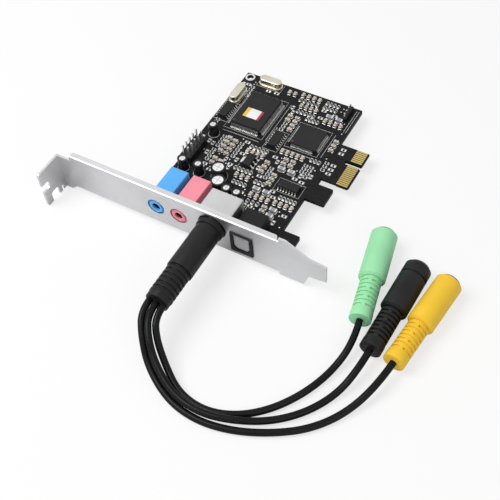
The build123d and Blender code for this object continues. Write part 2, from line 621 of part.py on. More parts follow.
# Circuit board
def make_board():
    hook_x = BOARD_RIGHT + HOOK_DROP
    hook_start = FACE_Y + HOOK_START
    foot_end = BOARD_NEAR + FOOT_LENGTH
    foot_x = BOARD_RIGHT + FOOT_DROP
    outline = [
        (BOARD_LEFT, BOARD_NEAR),
        (foot_x, BOARD_NEAR),
        (foot_x, foot_end),
        (BOARD_RIGHT, foot_end),
        (BOARD_RIGHT, hook_start),
        (hook_x, hook_start),
        (hook_x, SLIT_START),
        (BOARD_RIGHT, SLIT_START),
        (BOARD_RIGHT, NEAR_TAB_START),
        (CONTACT_EDGE, NEAR_TAB_START),
        (CONTACT_EDGE, FAR_TAB_END),
        (BOARD_RIGHT, FAR_TAB_END),
        (BOARD_RIGHT, BOARD_FAR),
        (BOARD_LEFT, BOARD_FAR),
    ]
    plate = Plane.XY.offset(BOARD_BOTTOM) * make_face(Polyline(*outline, close=True))
    board = extrude(plate, amount=BOARD_THICKNESS)
    bridge = (BOARD_RIGHT, BOARD_RIGHT + SLIT_RISE)
    board += block(bridge, (SLIT_START, NEAR_TAB_START), (BOARD_BOTTOM, BOARD_TOP))
    outer = [edge for edge in board.edges().filter_by(Axis.Z) if is_outer_corner(edge.center())]
    board = fillet(outer, BOARD_CORNER)
    bevelled = [
        edge
        for edge in board.edges().filter_by(Axis.Y)
        if abs(edge.center().X - CONTACT_EDGE) < SAME_PLACE
    ]
    board = chamfer(bevelled, CONTACT_BEVEL)

    thick = (BOARD_BOTTOM - SHEET, BOARD_TOP + SHEET)
    key_y = KEY_START + KEY_WIDTH / 2
    key_end = CONTACT_EDGE - KEY_DEPTH + KEY_WIDTH / 2
    cuts = [
        block((key_end, CONTACT_EDGE + SHEET), (KEY_START, FAR_TAB_START), thick),
        rod_z(KEY_WIDTH / 2, key_end, key_y, *thick),
        rod_z(CORNER_HOLE_RADIUS, BOARD_LEFT + CORNER_HOLE_INSET, BOARD_FAR - CORNER_HOLE_INSET, *thick),
    ]
    lead_holes = [
        (CAN_LEADS, CAN_LEAD_RADIUS),
        (CRYSTAL_LEADS, CRYSTAL_LEAD_RADIUS),
        (DIN_LEGS, DIN_LEG_RADIUS),
        (EMITTER_LEGS, EMITTER_LEG * math.sqrt(0.5)),
        (PANEL_PINS_XY, PANEL_PIN * math.sqrt(0.5)),
        (AUX_PINS_XY, AUX_PIN * math.sqrt(0.5)),
        (BLADE_LEGS, BLADE_LEG_WIDTH / 2),
        (LUG_HOLES, SCREW_RADIUS),
    ]
    for places, radius in lead_holes:
        cuts += [rod_z(radius + HOLE_CLEARANCE, x, y, *thick) for x, y in places]
    for side in (-1, 1):
        leg_x = DIN_CENTRE_X + side * (DIN_WIDTH / 2 - SHIELD_WALL / 2)
        half = SHIELD_WALL / 2 + HOLE_CLEARANCE
        leg_y = FACE_Y + SHIELD_LEG_FROM_FACE
        reach = SHIELD_LEG_WIDTH / 2 + HOLE_CLEARANCE
        cuts.append(block((leg_x - half, leg_x + half), (leg_y - reach, leg_y + reach), thick))
    return board - cuts


def is_outer_corner(point):
    """Corner of the board's outline that is rounded by the cutter."""
    sides = (BOARD_LEFT, BOARD_RIGHT + HOOK_DROP, BOARD_RIGHT + FOOT_DROP, CONTACT_EDGE)
    on_side = any(abs(point.X - x) < SAME_PLACE for x in sides)
    at_far_end = abs(point.Y - BOARD_FAR) < SAME_PLACE
    return on_side or (at_far_end and abs(point.X - BOARD_RIGHT) < SAME_PLACE)


def make_contacts():
    """Gold fingers on both faces of the two contact tabs."""
    fingers = []
    span = (CONTACT_EDGE - CONTACT_INSET - CONTACT_LENGTH, CONTACT_EDGE - CONTACT_INSET)
    upper = (BOARD_TOP, BOARD_TOP + CONTACT_THICKNESS)
    lower = (BOARD_BOTTOM - CONTACT_THICKNESS, BOARD_BOTTOM)
    tabs = [(NEAR_TAB_START, NEAR_TAB, NEAR_COUNT), (FAR_TAB_START, FAR_TAB, FAR_COUNT)]
    for start, length, count in tabs:
        for k in range(count):
            y = start + length / 2 + (k - (count - 1) / 2) * CONTACT_PITCH
            for level in (upper, lower):
                fingers.append(block(span, (y - CONTACT_WIDTH / 2, y + CONTACT_WIDTH / 2), level))
    return group(fingers)


# Moulded chips
def chip_body(place, turn, width, length, height, mark_radius):
    """Moulded body with drafted sides and a pin mark, its length along Y before the turn."""
    upper = extrude(Rectangle(width, length), amount=height / 2, taper=DRAFT)
    body = upper + mirror(upper, about=Plane.XY)
    mark_x = -width / 2 + 3 * mark_radius
    mark_y = length / 2 - 3 * mark_radius
    body -= rod_z(mark_radius, mark_x, mark_y, height / 2 - PIN_MARK_DEPTH, height)
    return Pos(*place, BOARD_TOP + CHIP_STANDOFF + height / 2) * Rot(0, 0, turn) * body


def gull_wing(middle, reach, width):
    """One lead, from the body's side at x = 0 out along +X and down to the board at z = 0."""
    half = LEAD_THICKNESS / 2
    shoulder = LEAD_SHOULDER * reach
    knee = LEAD_KNEE * reach
    outline = [
        (0, middle + half),
        (shoulder, middle + half),
        (knee, LEAD_THICKNESS),
        (reach, LEAD_THICKNESS),
        (reach, 0),
        (knee - half, 0),
        (shoulder - half, middle - half),
        (0, middle - half),
    ]
    return extrude(Plane.XZ * make_face(Polyline(*outline, close=True)), amount=width / 2, both=True)


def chip_leads(place, turn, width, length, height, sides, pitch, reach, lead_width):
    """Leads on the sides given as angle and count, 0 for the +X side."""
    middle = CHIP_STANDOFF + height / 2
    lead = gull_wing(middle, reach, lead_width)
    leads = []
    for angle, count in sides:
        offset = width / 2 if angle % 180 == 0 else length / 2
        for k in range(count):
            along = (k - (count - 1) / 2) * pitch
            leads.append(Pos(*place, BOARD_TOP) * Rot(0, 0, turn + angle) * Pos(offset, along, 0) * lead)
    return leads


def make_regulator():
    """Regulator body, and its three legs with the wide tab opposite."""
    size = (REGULATOR_WIDTH, REGULATOR_LENGTH, REGULATOR_HEIGHT)
    body = chip_body(REGULATOR_PLACE, 0, *size, REGULATOR_MARK_RADIUS)
    middle = CHIP_STANDOFF + REGULATOR_HEIGHT / 2
    place = Pos(*REGULATOR_PLACE, BOARD_TOP)
    leg = gull_wing(middle, REGULATOR_LEG_REACH, REGULATOR_LEG)
    legs = [place * Pos(REGULATOR_WIDTH / 2, k * REGULATOR_PITCH, 0) * leg for k in (-1, 0, 1)]
    tab = gull_wing(middle, REGULATOR_LEG_REACH, REGULATOR_TAB)
    legs.append(place * Rot(0, 0, 180) * Pos(REGULATOR_WIDTH / 2, 0, 0) * tab)
    return body, legs


# Can capacitors
def make_can(centre, radius):
    """Aluminium can with rounded rim, and the sleeve shrunk around it."""
    can = rod_z(radius, *centre, BOARD_TOP, BOARD_TOP + CAN_HEIGHT)
    can = fillet(can.faces().sort_by(Axis.Z)[-1].edges(), CAN_CORNER)
    inner = radius + SLEEVE_CLEARANCE
    outer = inner + SLEEVE_WALL
    lip_low = BOARD_TOP + CAN_HEIGHT + SLEEVE_CLEARANCE
    sleeve = rod_z(outer, *centre, BOARD_TOP, lip_low + SLEEVE_WALL)
    sleeve -= rod_z(inner, *centre, BOARD_TOP, lip_low)
    sleeve -= rod_z(inner - CAN_CORNER - SLEEVE_LIP, *centre, BOARD_TOP, lip_low + 2 * SLEEVE_WALL)
    return can, sleeve


# Crystal cans
def make_crystal(centre, turn):
    """Oblong can with the rim of its weld."""
    can = extrude(SlotOverall(CRYSTAL_LENGTH, CRYSTAL_WIDTH), amount=CRYSTAL_HEIGHT)
    can = fillet(can.faces().sort_by(Axis.Z)[-1].edges(), CRYSTAL_RIM)
    rim = SlotOverall(CRYSTAL_LENGTH + 2 * CRYSTAL_RIM, CRYSTAL_WIDTH + 2 * CRYSTAL_RIM)
    can += extrude(rim, amount=CRYSTAL_RIM_HEIGHT)
    return Pos(*centre, BOARD_TOP) * Rot(0, 0, turn) * can


# Soldered chip parts
def make_chip_parts():
    """Bodies by kind, and the soldered caps on their two ends."""
    bodies = {kind: [] for kind in CHIP_SIZES}
    caps = []
    for kind, start, count, step, quarter_turn in CHIP_ROWS:
        length, width, height = CHIP_SIZES[kind]
        cap = CAP_SHARE * length
        for k in range(count):
            x, y = on_board(*start)
            place = Pos(x + k * step[0], y + k * step[1], BOARD_TOP + height / 2)
            if quarter_turn:
                place = place * Rot(0, 0, 90)
            bodies[kind].append(place * Box(length - 2 * cap, width, height))
            for side in (-1, 1):
                caps.append(place * Pos(side * (length - cap) / 2, 0, 0) * Box(cap, width, height))
    return bodies, caps


# Panel jacks
def make_panel_jack(port_x):
    """Coloured housing with its bore, and the contact blades in its slots."""
    x = TAB_X + port_x
    back = FACE_Y + JACK_BACK
    sides = (x - JACK_WIDTH / 2, x + JACK_WIDTH / 2)
    housing = block(sides, (INNER_Y, back), (BOARD_TOP, BOARD_TOP + JACK_HEIGHT))
    housing = fillet(housing.faces().sort_by(Axis.Z)[-1].edges(), JACK_CORNER)
    housing += rod_y(JACK_NOSE_RADIUS, x, JACK_Z, FACE_Y, INNER_Y + JACK_CORNER)
    housing -= rod_y(JACK_BORE_RADIUS, x, JACK_Z, FACE_Y - SHEET, FACE_Y + JACK_BORE_DEPTH)
    blades = []
    for from_face in BLADE_FROM_FACE:
        y = FACE_Y + from_face
        slot_half = BLADE_WIDTH / 2 + BLADE_CLEARANCE
        thick_half = BLADE_THICKNESS / 2
        slot_y = (y - thick_half - BLADE_CLEARANCE, y + thick_half + BLADE_CLEARANCE)
        housing -= block((x - slot_half, x + slot_half), slot_y, (BOARD_TOP - SHEET, JACK_Z))
        blade_y = (y - thick_half, y + thick_half)
        blade_top = JACK_Z - JACK_BORE_RADIUS
        blade = block((x - BLADE_WIDTH / 2, x + BLADE_WIDTH / 2), blade_y, (BOARD_TOP, blade_top))
        leg_half = BLADE_LEG_WIDTH / 2
        blade += block((x - leg_half, x + leg_half), blade_y, (LEAD_BOTTOM, BOARD_TOP))
        blades.append(blade)
    return housing, blades


# Round mini socket
def make_din_socket():
    """Metal shield, black core with the groove for the plug's shell, and the contact legs."""
    half = DIN_WIDTH / 2
    top = DIN_Z + DIN_TOP
    back = FACE_Y + DIN_BACK
    x = DIN_CENTRE_X
    shield = block((x - half, x + half), (INNER_Y, back), (BOARD_TOP, top))
    upper = shield.edges().filter_by(Axis.Y).group_by(Axis.Z)[-1]
    shield = fillet(upper, 2 * SHIELD_WALL)
    inside = half - SHIELD_WALL
    hollow_y = (INNER_Y + SHIELD_WALL, back + SHEET)
    shield -= block((x - inside, x + inside), hollow_y, (BOARD_TOP - SHEET, top - SHIELD_WALL))
    shield -= rod_y(DIN_PORT_RADIUS, x, DIN_Z, FACE_Y, INNER_Y + 2 * SHIELD_WALL)
    leg_y = FACE_Y + SHIELD_LEG_FROM_FACE
    for side in (-1, 1):
        leg_x = sorted((x + side * inside, x + side * half))
        leg_span = (leg_y - SHIELD_LEG_WIDTH / 2, leg_y + SHIELD_LEG_WIDTH / 2)
        shield += block(leg_x, leg_span, (LEAD_BOTTOM, BOARD_TOP))

    core_half = inside - DIN_CORE_CLEARANCE
    core_front = INNER_Y + SHIELD_WALL + DIN_CORE_CLEARANCE
    core_top = top - SHIELD_WALL - DIN_CORE_CLEARANCE
    core = block((x - core_half, x + core_half), (core_front, back), (BOARD_TOP, core_top))
    core += rod_y(DIN_BOSS_RADIUS, x, DIN_Z, FACE_Y, core_front)
    groove_outer = SHELL_RADIUS + DIN_GROOVE_CLEARANCE
    groove_inner = SHELL_RADIUS - SHELL_WALL - DIN_GROOVE_CLEARANCE
    groove = rod_y(groove_outer, x, DIN_Z, FACE_Y - SHEET, FACE_Y + DIN_GROOVE_DEPTH)
    groove -= rod_y(groove_inner, x, DIN_Z, FACE_Y - SHEET, FACE_Y + DIN_GROOVE_DEPTH)
    core -= groove
    legs = []
    for level, spread, behind in DIN_ROWS:
        z = DIN_Z + level
        for offset in spread:
            leg_y = back + behind
            hole = DIN_PIN_RADIUS + DIN_PIN_CLEARANCE
            pin_end = FACE_Y + PLUG_PIN_ENGAGE
            core -= rod_y(hole, x + offset, z, FACE_Y - SHEET, pin_end + DIN_PIN_CLEARANCE)
            core -= rod_y(DIN_LEG_RADIUS + HEADER_FIT, x + offset, z, pin_end, back + SHEET)
            tip = pin_end + 2 * DIN_PIN_CLEARANCE
            leg = rod_y(DIN_LEG_RADIUS, x + offset, z, tip, leg_y)
            leg += rod_z(DIN_LEG_RADIUS, x + offset, leg_y, LEAD_BOTTOM, z)
            leg += Pos(x + offset, leg_y, z) * Sphere(DIN_LEG_RADIUS)
            legs.append(leg)
    return shield, core, legs


# Optical port
def mouth_prism(side_gap, low, high, y):
    """Prism of the port's mouth with its cut lower corners, along Y."""
    half = MOUTH_HALF - side_gap
    x = OPTICAL_CENTRE_X
    outline = [
        (x - half, high),
        (x - half, low + OPTICAL_KEY),
        (x - half + OPTICAL_KEY, low),
        (x + half - OPTICAL_KEY, low),
        (x + half, low + OPTICAL_KEY),
        (x + half, high),
    ]
    plane = Plane.XZ.offset(-y[0])
    return extrude(plane * make_face(Polyline(*outline, close=True)), amount=y[0] - y[1])


def make_optical_housing():
    x = OPTICAL_CENTRE_X
    half = OPTICAL_WIDTH / 2
    sides = (x - half, x + half)
    nose_end = BOARD_NEAR - OPTICAL_CLEARANCE
    housing = block(sides, (OPTICAL_FRONT, nose_end), (OPTICAL_LOW, OPTICAL_HIGH))
    housing += block(sides, (nose_end, FACE_Y + OPTICAL_BACK), (BOARD_TOP, OPTICAL_HIGH))
    cavity_back = FACE_Y + OPTICAL_DEPTH
    housing -= mouth_prism(0, MOUTH_LOW, MOUTH_HIGH, (OPTICAL_FRONT - SHEET, cavity_back))
    ferrule_z = (MOUTH_LOW + MOUTH_HIGH) / 2
    pocket_front = cavity_back + OPTICAL_WALL
    housing -= rod_y(FERRULE_RADIUS, x, ferrule_z, cavity_back - SHEET, pocket_front + SHEET)
    pocket_half = EMITTER_WIDTH / 2 + EMITTER_CLEARANCE
    pocket_top = BOARD_TOP + EMITTER_HEIGHT + EMITTER_CLEARANCE
    pocket_y = (pocket_front, FACE_Y + OPTICAL_BACK + SHEET)
    housing -= block((x - pocket_half, x + pocket_half), pocket_y, (BOARD_TOP - SHEET, pocket_top))
    seat = MOUTH_HALF + PIN_SEAT
    housing -= rod_x(PIN_RADIUS, HINGE_Y, HINGE_Z, x - seat, x + seat)
    return housing


def make_door():
    """Door with two hinge knuckles and the gap for its spring between them."""
    x = OPTICAL_CENTRE_X
    low = MOUTH_LOW + DOOR_CLEARANCE
    y = (HINGE_Y - DOOR_THICKNESS / 2, HINGE_Y + DOOR_THICKNESS / 2)
    half = MOUTH_HALF - DOOR_CLEARANCE
    door = mouth_prism(DOOR_CLEARANCE, low, HINGE_Z, y)
    door += rod_x(KNUCKLE_RADIUS, HINGE_Y, HINGE_Z, x - half, x + half)
    gap = SPRING_LENGTH / 2 + DOOR_CLEARANCE
    spring_reach = PIN_RADIUS + PIN_RUNNING + SPRING_WALL + DOOR_CLEARANCE
    gap_y = (HINGE_Y - 2 * KNUCKLE_RADIUS, HINGE_Y + 2 * KNUCKLE_RADIUS)
    door -= block((x - gap, x + gap), gap_y, (HINGE_Z - spring_reach, HINGE_Z + 2 * KNUCKLE_RADIUS))
    door -= rod_x(PIN_RADIUS + PIN_RUNNING, HINGE_Y, HINGE_Z, x - 2 * half, x + 2 * half)
    return door


def make_door_spring():
    """Close-wound coil around the pin, with its leg under the housing's lintel."""
    x = OPTICAL_CENTRE_X
    inner = PIN_RADIUS + PIN_RUNNING / 2
    coil_span = (x - SPRING_LENGTH / 2, x + SPRING_LENGTH / 2)
    leg_span = (x - SPRING_LEG_WIDTH / 2, x + SPRING_LEG_WIDTH / 2)
    coil_top = HINGE_Z + inner + SPRING_WALL
    spring = rod_x(inner + SPRING_WALL, HINGE_Y, HINGE_Z, *coil_span)
    spring += block(leg_span, (HINGE_Y, HINGE_Y + SPRING_LEG), (coil_top - SPRING_WALL, coil_top))
    foot_y = (HINGE_Y + SPRING_LEG - SPRING_WALL, HINGE_Y + SPRING_LEG)
    spring += block(leg_span, foot_y, (coil_top, MOUTH_HIGH))
    return spring - rod_x(inner, HINGE_Y, HINGE_Z, *coil_span)


def make_emitter():
    """Light emitter with its lens in the ferrule's hole, and its three legs."""
    x = OPTICAL_CENTRE_X
    front = EMITTER_BACK - EMITTER_DEPTH
    half = EMITTER_WIDTH / 2
    body = block((x - half, x + half), (front, EMITTER_BACK), (BOARD_TOP, BOARD_TOP + EMITTER_HEIGHT))
    lens_z = (MOUTH_LOW + MOUTH_HIGH) / 2
    body += rod_y(EMITTER_LENS_RADIUS, x, lens_z, front - OPTICAL_WALL, front)
    legs = []
    leg_half = EMITTER_LEG / 2
    for leg_x, leg_y in EMITTER_LEGS:
        leg_span = (leg_x - leg_half, leg_x + leg_half)
        legs.append(block(leg_span, (leg_y - leg_half, leg_y + leg_half), (LEAD_BOTTOM, BOARD_TOP)))
    return body, legs


# Pin headers
def make_header(places, pitch, base_height, pin, pin_height):
    """Plastic base around square pins that stand through the board."""
    xs = [place[0] for place in places]
    ys = [place[1] for place in places]
    half = pitch / 2
    base_x = (min(xs) - half, max(xs) + half)
    base_y = (min(ys) - half, max(ys) + half)
    base = block(base_x, base_y, (BOARD_TOP, BOARD_TOP + base_height))
    pins = []
    for x, y in places:
        side = pin / 2 + HEADER_FIT
        hole_z = (BOARD_TOP - SHEET, BOARD_TOP + pin_height)
        base -= block((x - side, x + side), (y - side, y + side), hole_z)
        span_x = (x - pin / 2, x + pin / 2)
        span_y = (y - pin / 2, y + pin / 2)
        pins.append(block(span_x, span_y, (LEAD_BOTTOM, BOARD_TOP + pin_height)))
    return base, group(pins)


# Breakout plug
def make_plug():
    """Shell, insulating insert, pins and the ribbed overmould, on the socket's axis."""
    x = DIN_CENTRE_X
    shell_tip = FACE_Y + SHELL_ENGAGE
    shell_end = shell_tip - SHELL_LENGTH
    shell_inner = SHELL_RADIUS - SHELL_WALL
    shell = rod_y(SHELL_RADIUS, x, DIN_Z, shell_end, shell_tip)
    shell -= rod_y(shell_inner, x, DIN_Z, shell_end, shell_tip)
    insert_radius = shell_inner - INSERT_CLEARANCE
    insert = rod_y(insert_radius, x, DIN_Z, shell_end, shell_end + INSERT_LENGTH)
    pins = []
    for level, spread, behind in DIN_ROWS:
        for offset in spread:
            z = DIN_Z + level
            pins.append(rod_y(DIN_PIN_RADIUS, x + offset, z, shell_end, FACE_Y + PLUG_PIN_ENGAGE))
            insert -= rod_y(DIN_PIN_RADIUS + HEADER_FIT, x + offset, z, shell_end, shell_tip)

    rib_stretch = PLUG_LENGTH - PLUG_END - PLUG_BODY_END
    pitch = rib_stretch / PLUG_RIB_COUNT
    profile = [
        (0, PLUG_START),
        (PLUG_COLLAR_RADIUS, PLUG_START),
        (PLUG_COLLAR_RADIUS, PLUG_START + PLUG_COLLAR),
        (PLUG_GROOVE_RADIUS, PLUG_START + PLUG_COLLAR),
        (PLUG_GROOVE_RADIUS, PLUG_START + PLUG_COLLAR + PLUG_GROOVE),
        (PLUG_RADIUS, PLUG_START + PLUG_COLLAR + PLUG_GROOVE),
        (PLUG_RADIUS, PLUG_BODY_END),
    ]
    for rib in range(PLUG_RIB_COUNT):
        start = PLUG_BODY_END + rib * pitch
        profile += [
            (PLUG_NECK_RADIUS, start),
            (PLUG_NECK_RADIUS, start + RIB_GAP_SHARE * pitch),
            (PLUG_RIB_RADIUS, start + RIB_GAP_SHARE * pitch),
            (PLUG_RIB_RADIUS, start + pitch),
        ]
    profile += [
        (PLUG_END_RADIUS, PLUG_LENGTH - PLUG_END),
        (PLUG_END_RADIUS, PLUG_LENGTH),
        (0, PLUG_LENGTH),
    ]
    overmould = revolve(make_face(Polyline(*profile, close=True)), Axis.Y)
    overmould = Pos(x, FACE_Y, DIN_Z) * Rot(0, 0, 180) * overmould
    overmould -= rod_y(SHELL_RADIUS + INSERT_CLEARANCE, x, DIN_Z, shell_end, FACE_Y)
    return shell, insert, pins, overmould


# In-line jacks
def inline_profile():
    """Half section of a jack's body: radius and distance from the mouth."""
    rib_stretch = INLINE_LENGTH - INLINE_END - INLINE_BODY
    pitch = rib_stretch / INLINE_RIB_COUNT
    profile = [
        (LINER_RADIUS + LINER_CLEARANCE, 0),
        (INLINE_RADIUS - INLINE_EDGE, 0),
        (INLINE_RADIUS, INLINE_EDGE),
        (INLINE_RADIUS, INLINE_BODY - INLINE_SHOULDER),
        (INLINE_RIB_RADIUS, INLINE_BODY),
    ]
    for rib in range(INLINE_RIB_COUNT):
        start = INLINE_BODY + rib * pitch
        profile += [
            (INLINE_NECK_RADIUS, start),
            (INLINE_NECK_RADIUS, start + RIB_GAP_SHARE * pitch),
            (INLINE_RIB_RADIUS, start + RIB_GAP_SHARE * pitch),
            (INLINE_RIB_RADIUS, start + pitch),
        ]
    profile += [
        (INLINE_END_RADIUS, INLINE_LENGTH - INLINE_END),
        (INLINE_END_RADIUS, INLINE_LENGTH),
        (0, INLINE_LENGTH),
        (0, LINER_DEPTH + LINER_CLEARANCE),
        (LINER_RADIUS + LINER_CLEARANCE, LINER_DEPTH + LINER_CLEARANCE),
    ]
    return profile


def make_inline_jack(cord_end, heading):
    """Body, liner and contact springs; heading is the angle in degrees from the cord's end to the mouth."""
    body = revolve(make_face(Polyline(*inline_profile(), close=True)), Axis.Y)
    liner = rod_y(LINER_RADIUS, 0, 0, 0, LINER_DEPTH)
    liner -= rod_y(INLINE_BORE_RADIUS, 0, 0, -SHEET, INLINE_BORE_DEPTH)
    strips = []
    along = (SPRING_SLOT_START, SPRING_SLOT_START + SPRING_SLOT_LENGTH)
    margin = (SPRING_SLOT - SPRING_STRIP) / 2
    for side in (-1, 1):
        slot_x = sorted((0, side * (INLINE_BORE_RADIUS + SPRING_SLOT)))
        slot_half = SPRING_STRIP_WIDTH / 2 + margin
        liner -= block(slot_x, along, (-slot_half, slot_half))
        inner = side * (INLINE_BORE_RADIUS + margin)
        strip_x = sorted((inner, inner + side * SPRING_STRIP))
        strip_y = (along[0] + margin, along[1] - margin)
        strips.append(block(strip_x, strip_y, (-SPRING_STRIP_WIDTH / 2, SPRING_STRIP_WIDTH / 2)))
    place = Pos(*cord_end) * Rot(0, 0, heading - 90) * Pos(0, INLINE_LENGTH, 0) * Rot(0, 0, 180)
    return place * body, place * liner, [place * strip for strip in strips]


# Cords
def make_cord(name, points):
    """Tube along straight runs joined by arcs as large as the runs allow."""
    vectors = [Vector(*point) for point in points]
    radii = []
    for before, corner, after in zip(vectors, vectors[1:], vectors[2:]):
        turn = math.radians((corner - before).get_angle(after - corner))
        shorter = min((corner - before).length, (after - corner).length)
        radii.append(ARC_SHARE * shorter / math.tan(turn / 2))
    path = FilletPolyline(*vectors, radius=radii)
    tube = sweep(Plane(path @ 0, z_dir=path % 0) * Circle(CORD_RADIUS), path=path)
    share = tube.volume / (math.pi * CORD_RADIUS**2 * path.length)
    print(name, "length", round(path.length, 1), "volume share", round(share, 4))
    print("  radii", [round(radius, 1) for radius in radii])
    return tube


def end_heading(route):
    """Direction of a route's last run in the frame's XY plane, in degrees."""
    before, end = route[-2], route[-1]
    return math.degrees(math.atan2(end[1] - before[1], end[0] - before[0]))


# Assembly
parts["bracket"] = make_bracket()
parts["bracket_screws"] = group([make_screw(*place) for place in LUG_HOLES])
parts["circuit_board"] = make_board()
parts["edge_contacts"] = make_contacts()

audio_size = (AUDIO_WIDTH, AUDIO_LENGTH, AUDIO_HEIGHT)
audio_lead = (AUDIO_PITCH, AUDIO_LEAD_REACH, AUDIO_LEAD_WIDTH)
audio_sides = [(angle, AUDIO_LONG_COUNT) for angle in (0, 180)]
audio_sides += [(angle, AUDIO_SHORT_COUNT) for angle in (90, 270)]
parts["audio_chip"] = chip_body(AUDIO_PLACE, 0, *audio_size, AUDIO_MARK_RADIUS)
parts["audio_chip_leads"] = group(chip_leads(AUDIO_PLACE, 0, *audio_size, audio_sides, *audio_lead))

bridge_size = (BRIDGE_SIDE, BRIDGE_SIDE, BRIDGE_HEIGHT)
bridge_lead = (BRIDGE_PITCH, BRIDGE_LEAD_REACH, BRIDGE_LEAD_WIDTH)
bridge_sides = [(angle, BRIDGE_COUNT) for angle in (0, 90, 180, 270)]
parts["bridge_chip"] = chip_body(BRIDGE_PLACE, 0, *bridge_size, BRIDGE_MARK_RADIUS)
parts["bridge_chip_leads"] = group(chip_leads(BRIDGE_PLACE, 0, *bridge_size, bridge_sides, *bridge_lead))

amp_size = (AMP_WIDTH, AMP_LENGTH, AMP_HEIGHT)
amp_lead = (AMP_PITCH, AMP_LEAD_REACH, AMP_LEAD_WIDTH)
amp_sides = [(0, AMP_COUNT), (180, AMP_COUNT)]
amp_bodies = []
amp_leads = []
for place, turn in AMP_PLACES:
    amp_bodies.append(chip_body(place, turn, *amp_size, AMP_MARK_RADIUS))
    amp_leads += chip_leads(place, turn, *amp_size, amp_sides, *amp_lead)
parts["amplifier_chips"] = group(amp_bodies)
parts["amplifier_chip_leads"] = group(amp_leads)
parts["regulator"], regulator_legs = make_regulator()
parts["regulator_legs"] = group(regulator_legs)

cans = [make_can(centre, radius) for centre, radius in CANS]
parts["capacitor_cans"] = group([can for can, sleeve in cans])
parts["capacitor_sleeves"] = group([sleeve for can, sleeve in cans])
can_leads = [rod_z(CAN_LEAD_RADIUS, x, y, LEAD_BOTTOM, BOARD_TOP) for x, y in CAN_LEADS]
parts["capacitor_leads"] = group(can_leads)
parts["crystal_cans"] = group([make_crystal(centre, turn) for centre, turn in CRYSTAL_PLACES])
crystal_leads = [rod_z(CRYSTAL_LEAD_RADIUS, x, y, LEAD_BOTTOM, BOARD_TOP) for x, y in CRYSTAL_LEADS]
parts["crystal_leads"] = group(crystal_leads)

chip_bodies, end_caps = make_chip_parts()
parts["chip_resistors"] = group(chip_bodies["resistor"])
parts["ceramic_capacitors"] = group(chip_bodies["capacitor"])
parts["ferrite_inductors"] = group(chip_bodies["inductor"])
parts["chip_end_caps"] = group(end_caps)

parts["line_in_housing"], line_blades = make_panel_jack(LINE_JACK_X)
parts["line_in_contacts"] = group(line_blades)
parts["mic_housing"], mic_blades = make_panel_jack(MIC_JACK_X)
parts["mic_contacts"] = group(mic_blades)
parts["round_socket_shield"], parts["round_socket_core"], din_legs = make_din_socket()
parts["round_socket_contacts"] = group(din_legs)

parts["optical_housing"] = make_optical_housing()
parts["optical_door"] = make_door()
pin_reach = MOUTH_HALF + PIN_SEAT
pin_span = (OPTICAL_CENTRE_X - pin_reach, OPTICAL_CENTRE_X + pin_reach)
parts["door_pin"] = rod_x(PIN_RADIUS, HINGE_Y, HINGE_Z, *pin_span)
parts["door_spring"] = make_door_spring()
parts["optical_emitter"], emitter_legs = make_emitter()
parts["optical_legs"] = group(emitter_legs)

parts["panel_header_base"], parts["panel_header_pins"] = make_header(
    PANEL_PINS_XY, PANEL_PITCH, PANEL_BASE_HEIGHT, PANEL_PIN, PANEL_PIN_HEIGHT
)
parts["aux_header_base"], parts["aux_header_pins"] = make_header(
    AUX_PINS_XY, AUX_PITCH, AUX_BASE_HEIGHT, AUX_PIN, AUX_PIN_HEIGHT
)

parts["plug_shell"], parts["plug_insert"], plug_pins, parts["plug_overmould"] = make_plug()
parts["plug_pins"] = group(plug_pins)

springs = []
for colour, route in (("green", GREEN_ROUTE), ("black", BLACK_ROUTE), ("yellow", YELLOW_ROUTE)):
    parts[colour + "_cord"] = make_cord(colour + "_cord", route)
    body, liner, strips = make_inline_jack(route[-1], end_heading(route))
    parts[colour + "_jack_body"] = body
    parts[colour + "_jack_liner"] = liner
    springs += strips
parts["inline_jack_springs"] = group(springs)

os.makedirs("parts", exist_ok=True)
for name, shape in parts.items():
    export_step(shape, "parts/" + name + ".step")
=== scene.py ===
"""Sound card lying component side up, with its breakout cable plugged in and laid on the floor."""

import json
import math
import random

import bpy
from mathutils import Matrix, Vector


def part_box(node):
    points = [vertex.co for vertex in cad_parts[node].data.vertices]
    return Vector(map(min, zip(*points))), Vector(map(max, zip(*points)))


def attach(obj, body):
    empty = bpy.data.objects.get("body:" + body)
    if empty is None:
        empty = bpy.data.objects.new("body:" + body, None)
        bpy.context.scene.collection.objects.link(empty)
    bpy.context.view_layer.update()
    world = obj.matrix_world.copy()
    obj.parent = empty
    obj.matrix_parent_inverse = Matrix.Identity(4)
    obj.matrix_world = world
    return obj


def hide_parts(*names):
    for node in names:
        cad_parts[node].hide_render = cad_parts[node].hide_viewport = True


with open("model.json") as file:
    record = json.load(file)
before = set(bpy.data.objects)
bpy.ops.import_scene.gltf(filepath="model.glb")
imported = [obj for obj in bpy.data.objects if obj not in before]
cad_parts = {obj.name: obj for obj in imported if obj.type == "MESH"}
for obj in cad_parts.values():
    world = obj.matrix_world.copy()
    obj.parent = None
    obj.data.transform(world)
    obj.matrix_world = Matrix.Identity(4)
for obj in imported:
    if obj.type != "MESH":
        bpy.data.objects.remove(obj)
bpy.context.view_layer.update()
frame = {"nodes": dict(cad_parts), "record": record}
cad = frame["nodes"]

MM = 0.001
CARD = "card"

# Camera of the photograph
CAMERA_PLACE = (137.33 * MM, -198.98 * MM, 268.04 * MM)
CAMERA_TURN = (36.764, 3.399, 29.409)
CAMERA_LENS = 62.74
CAMERA_SENSOR = 36.0

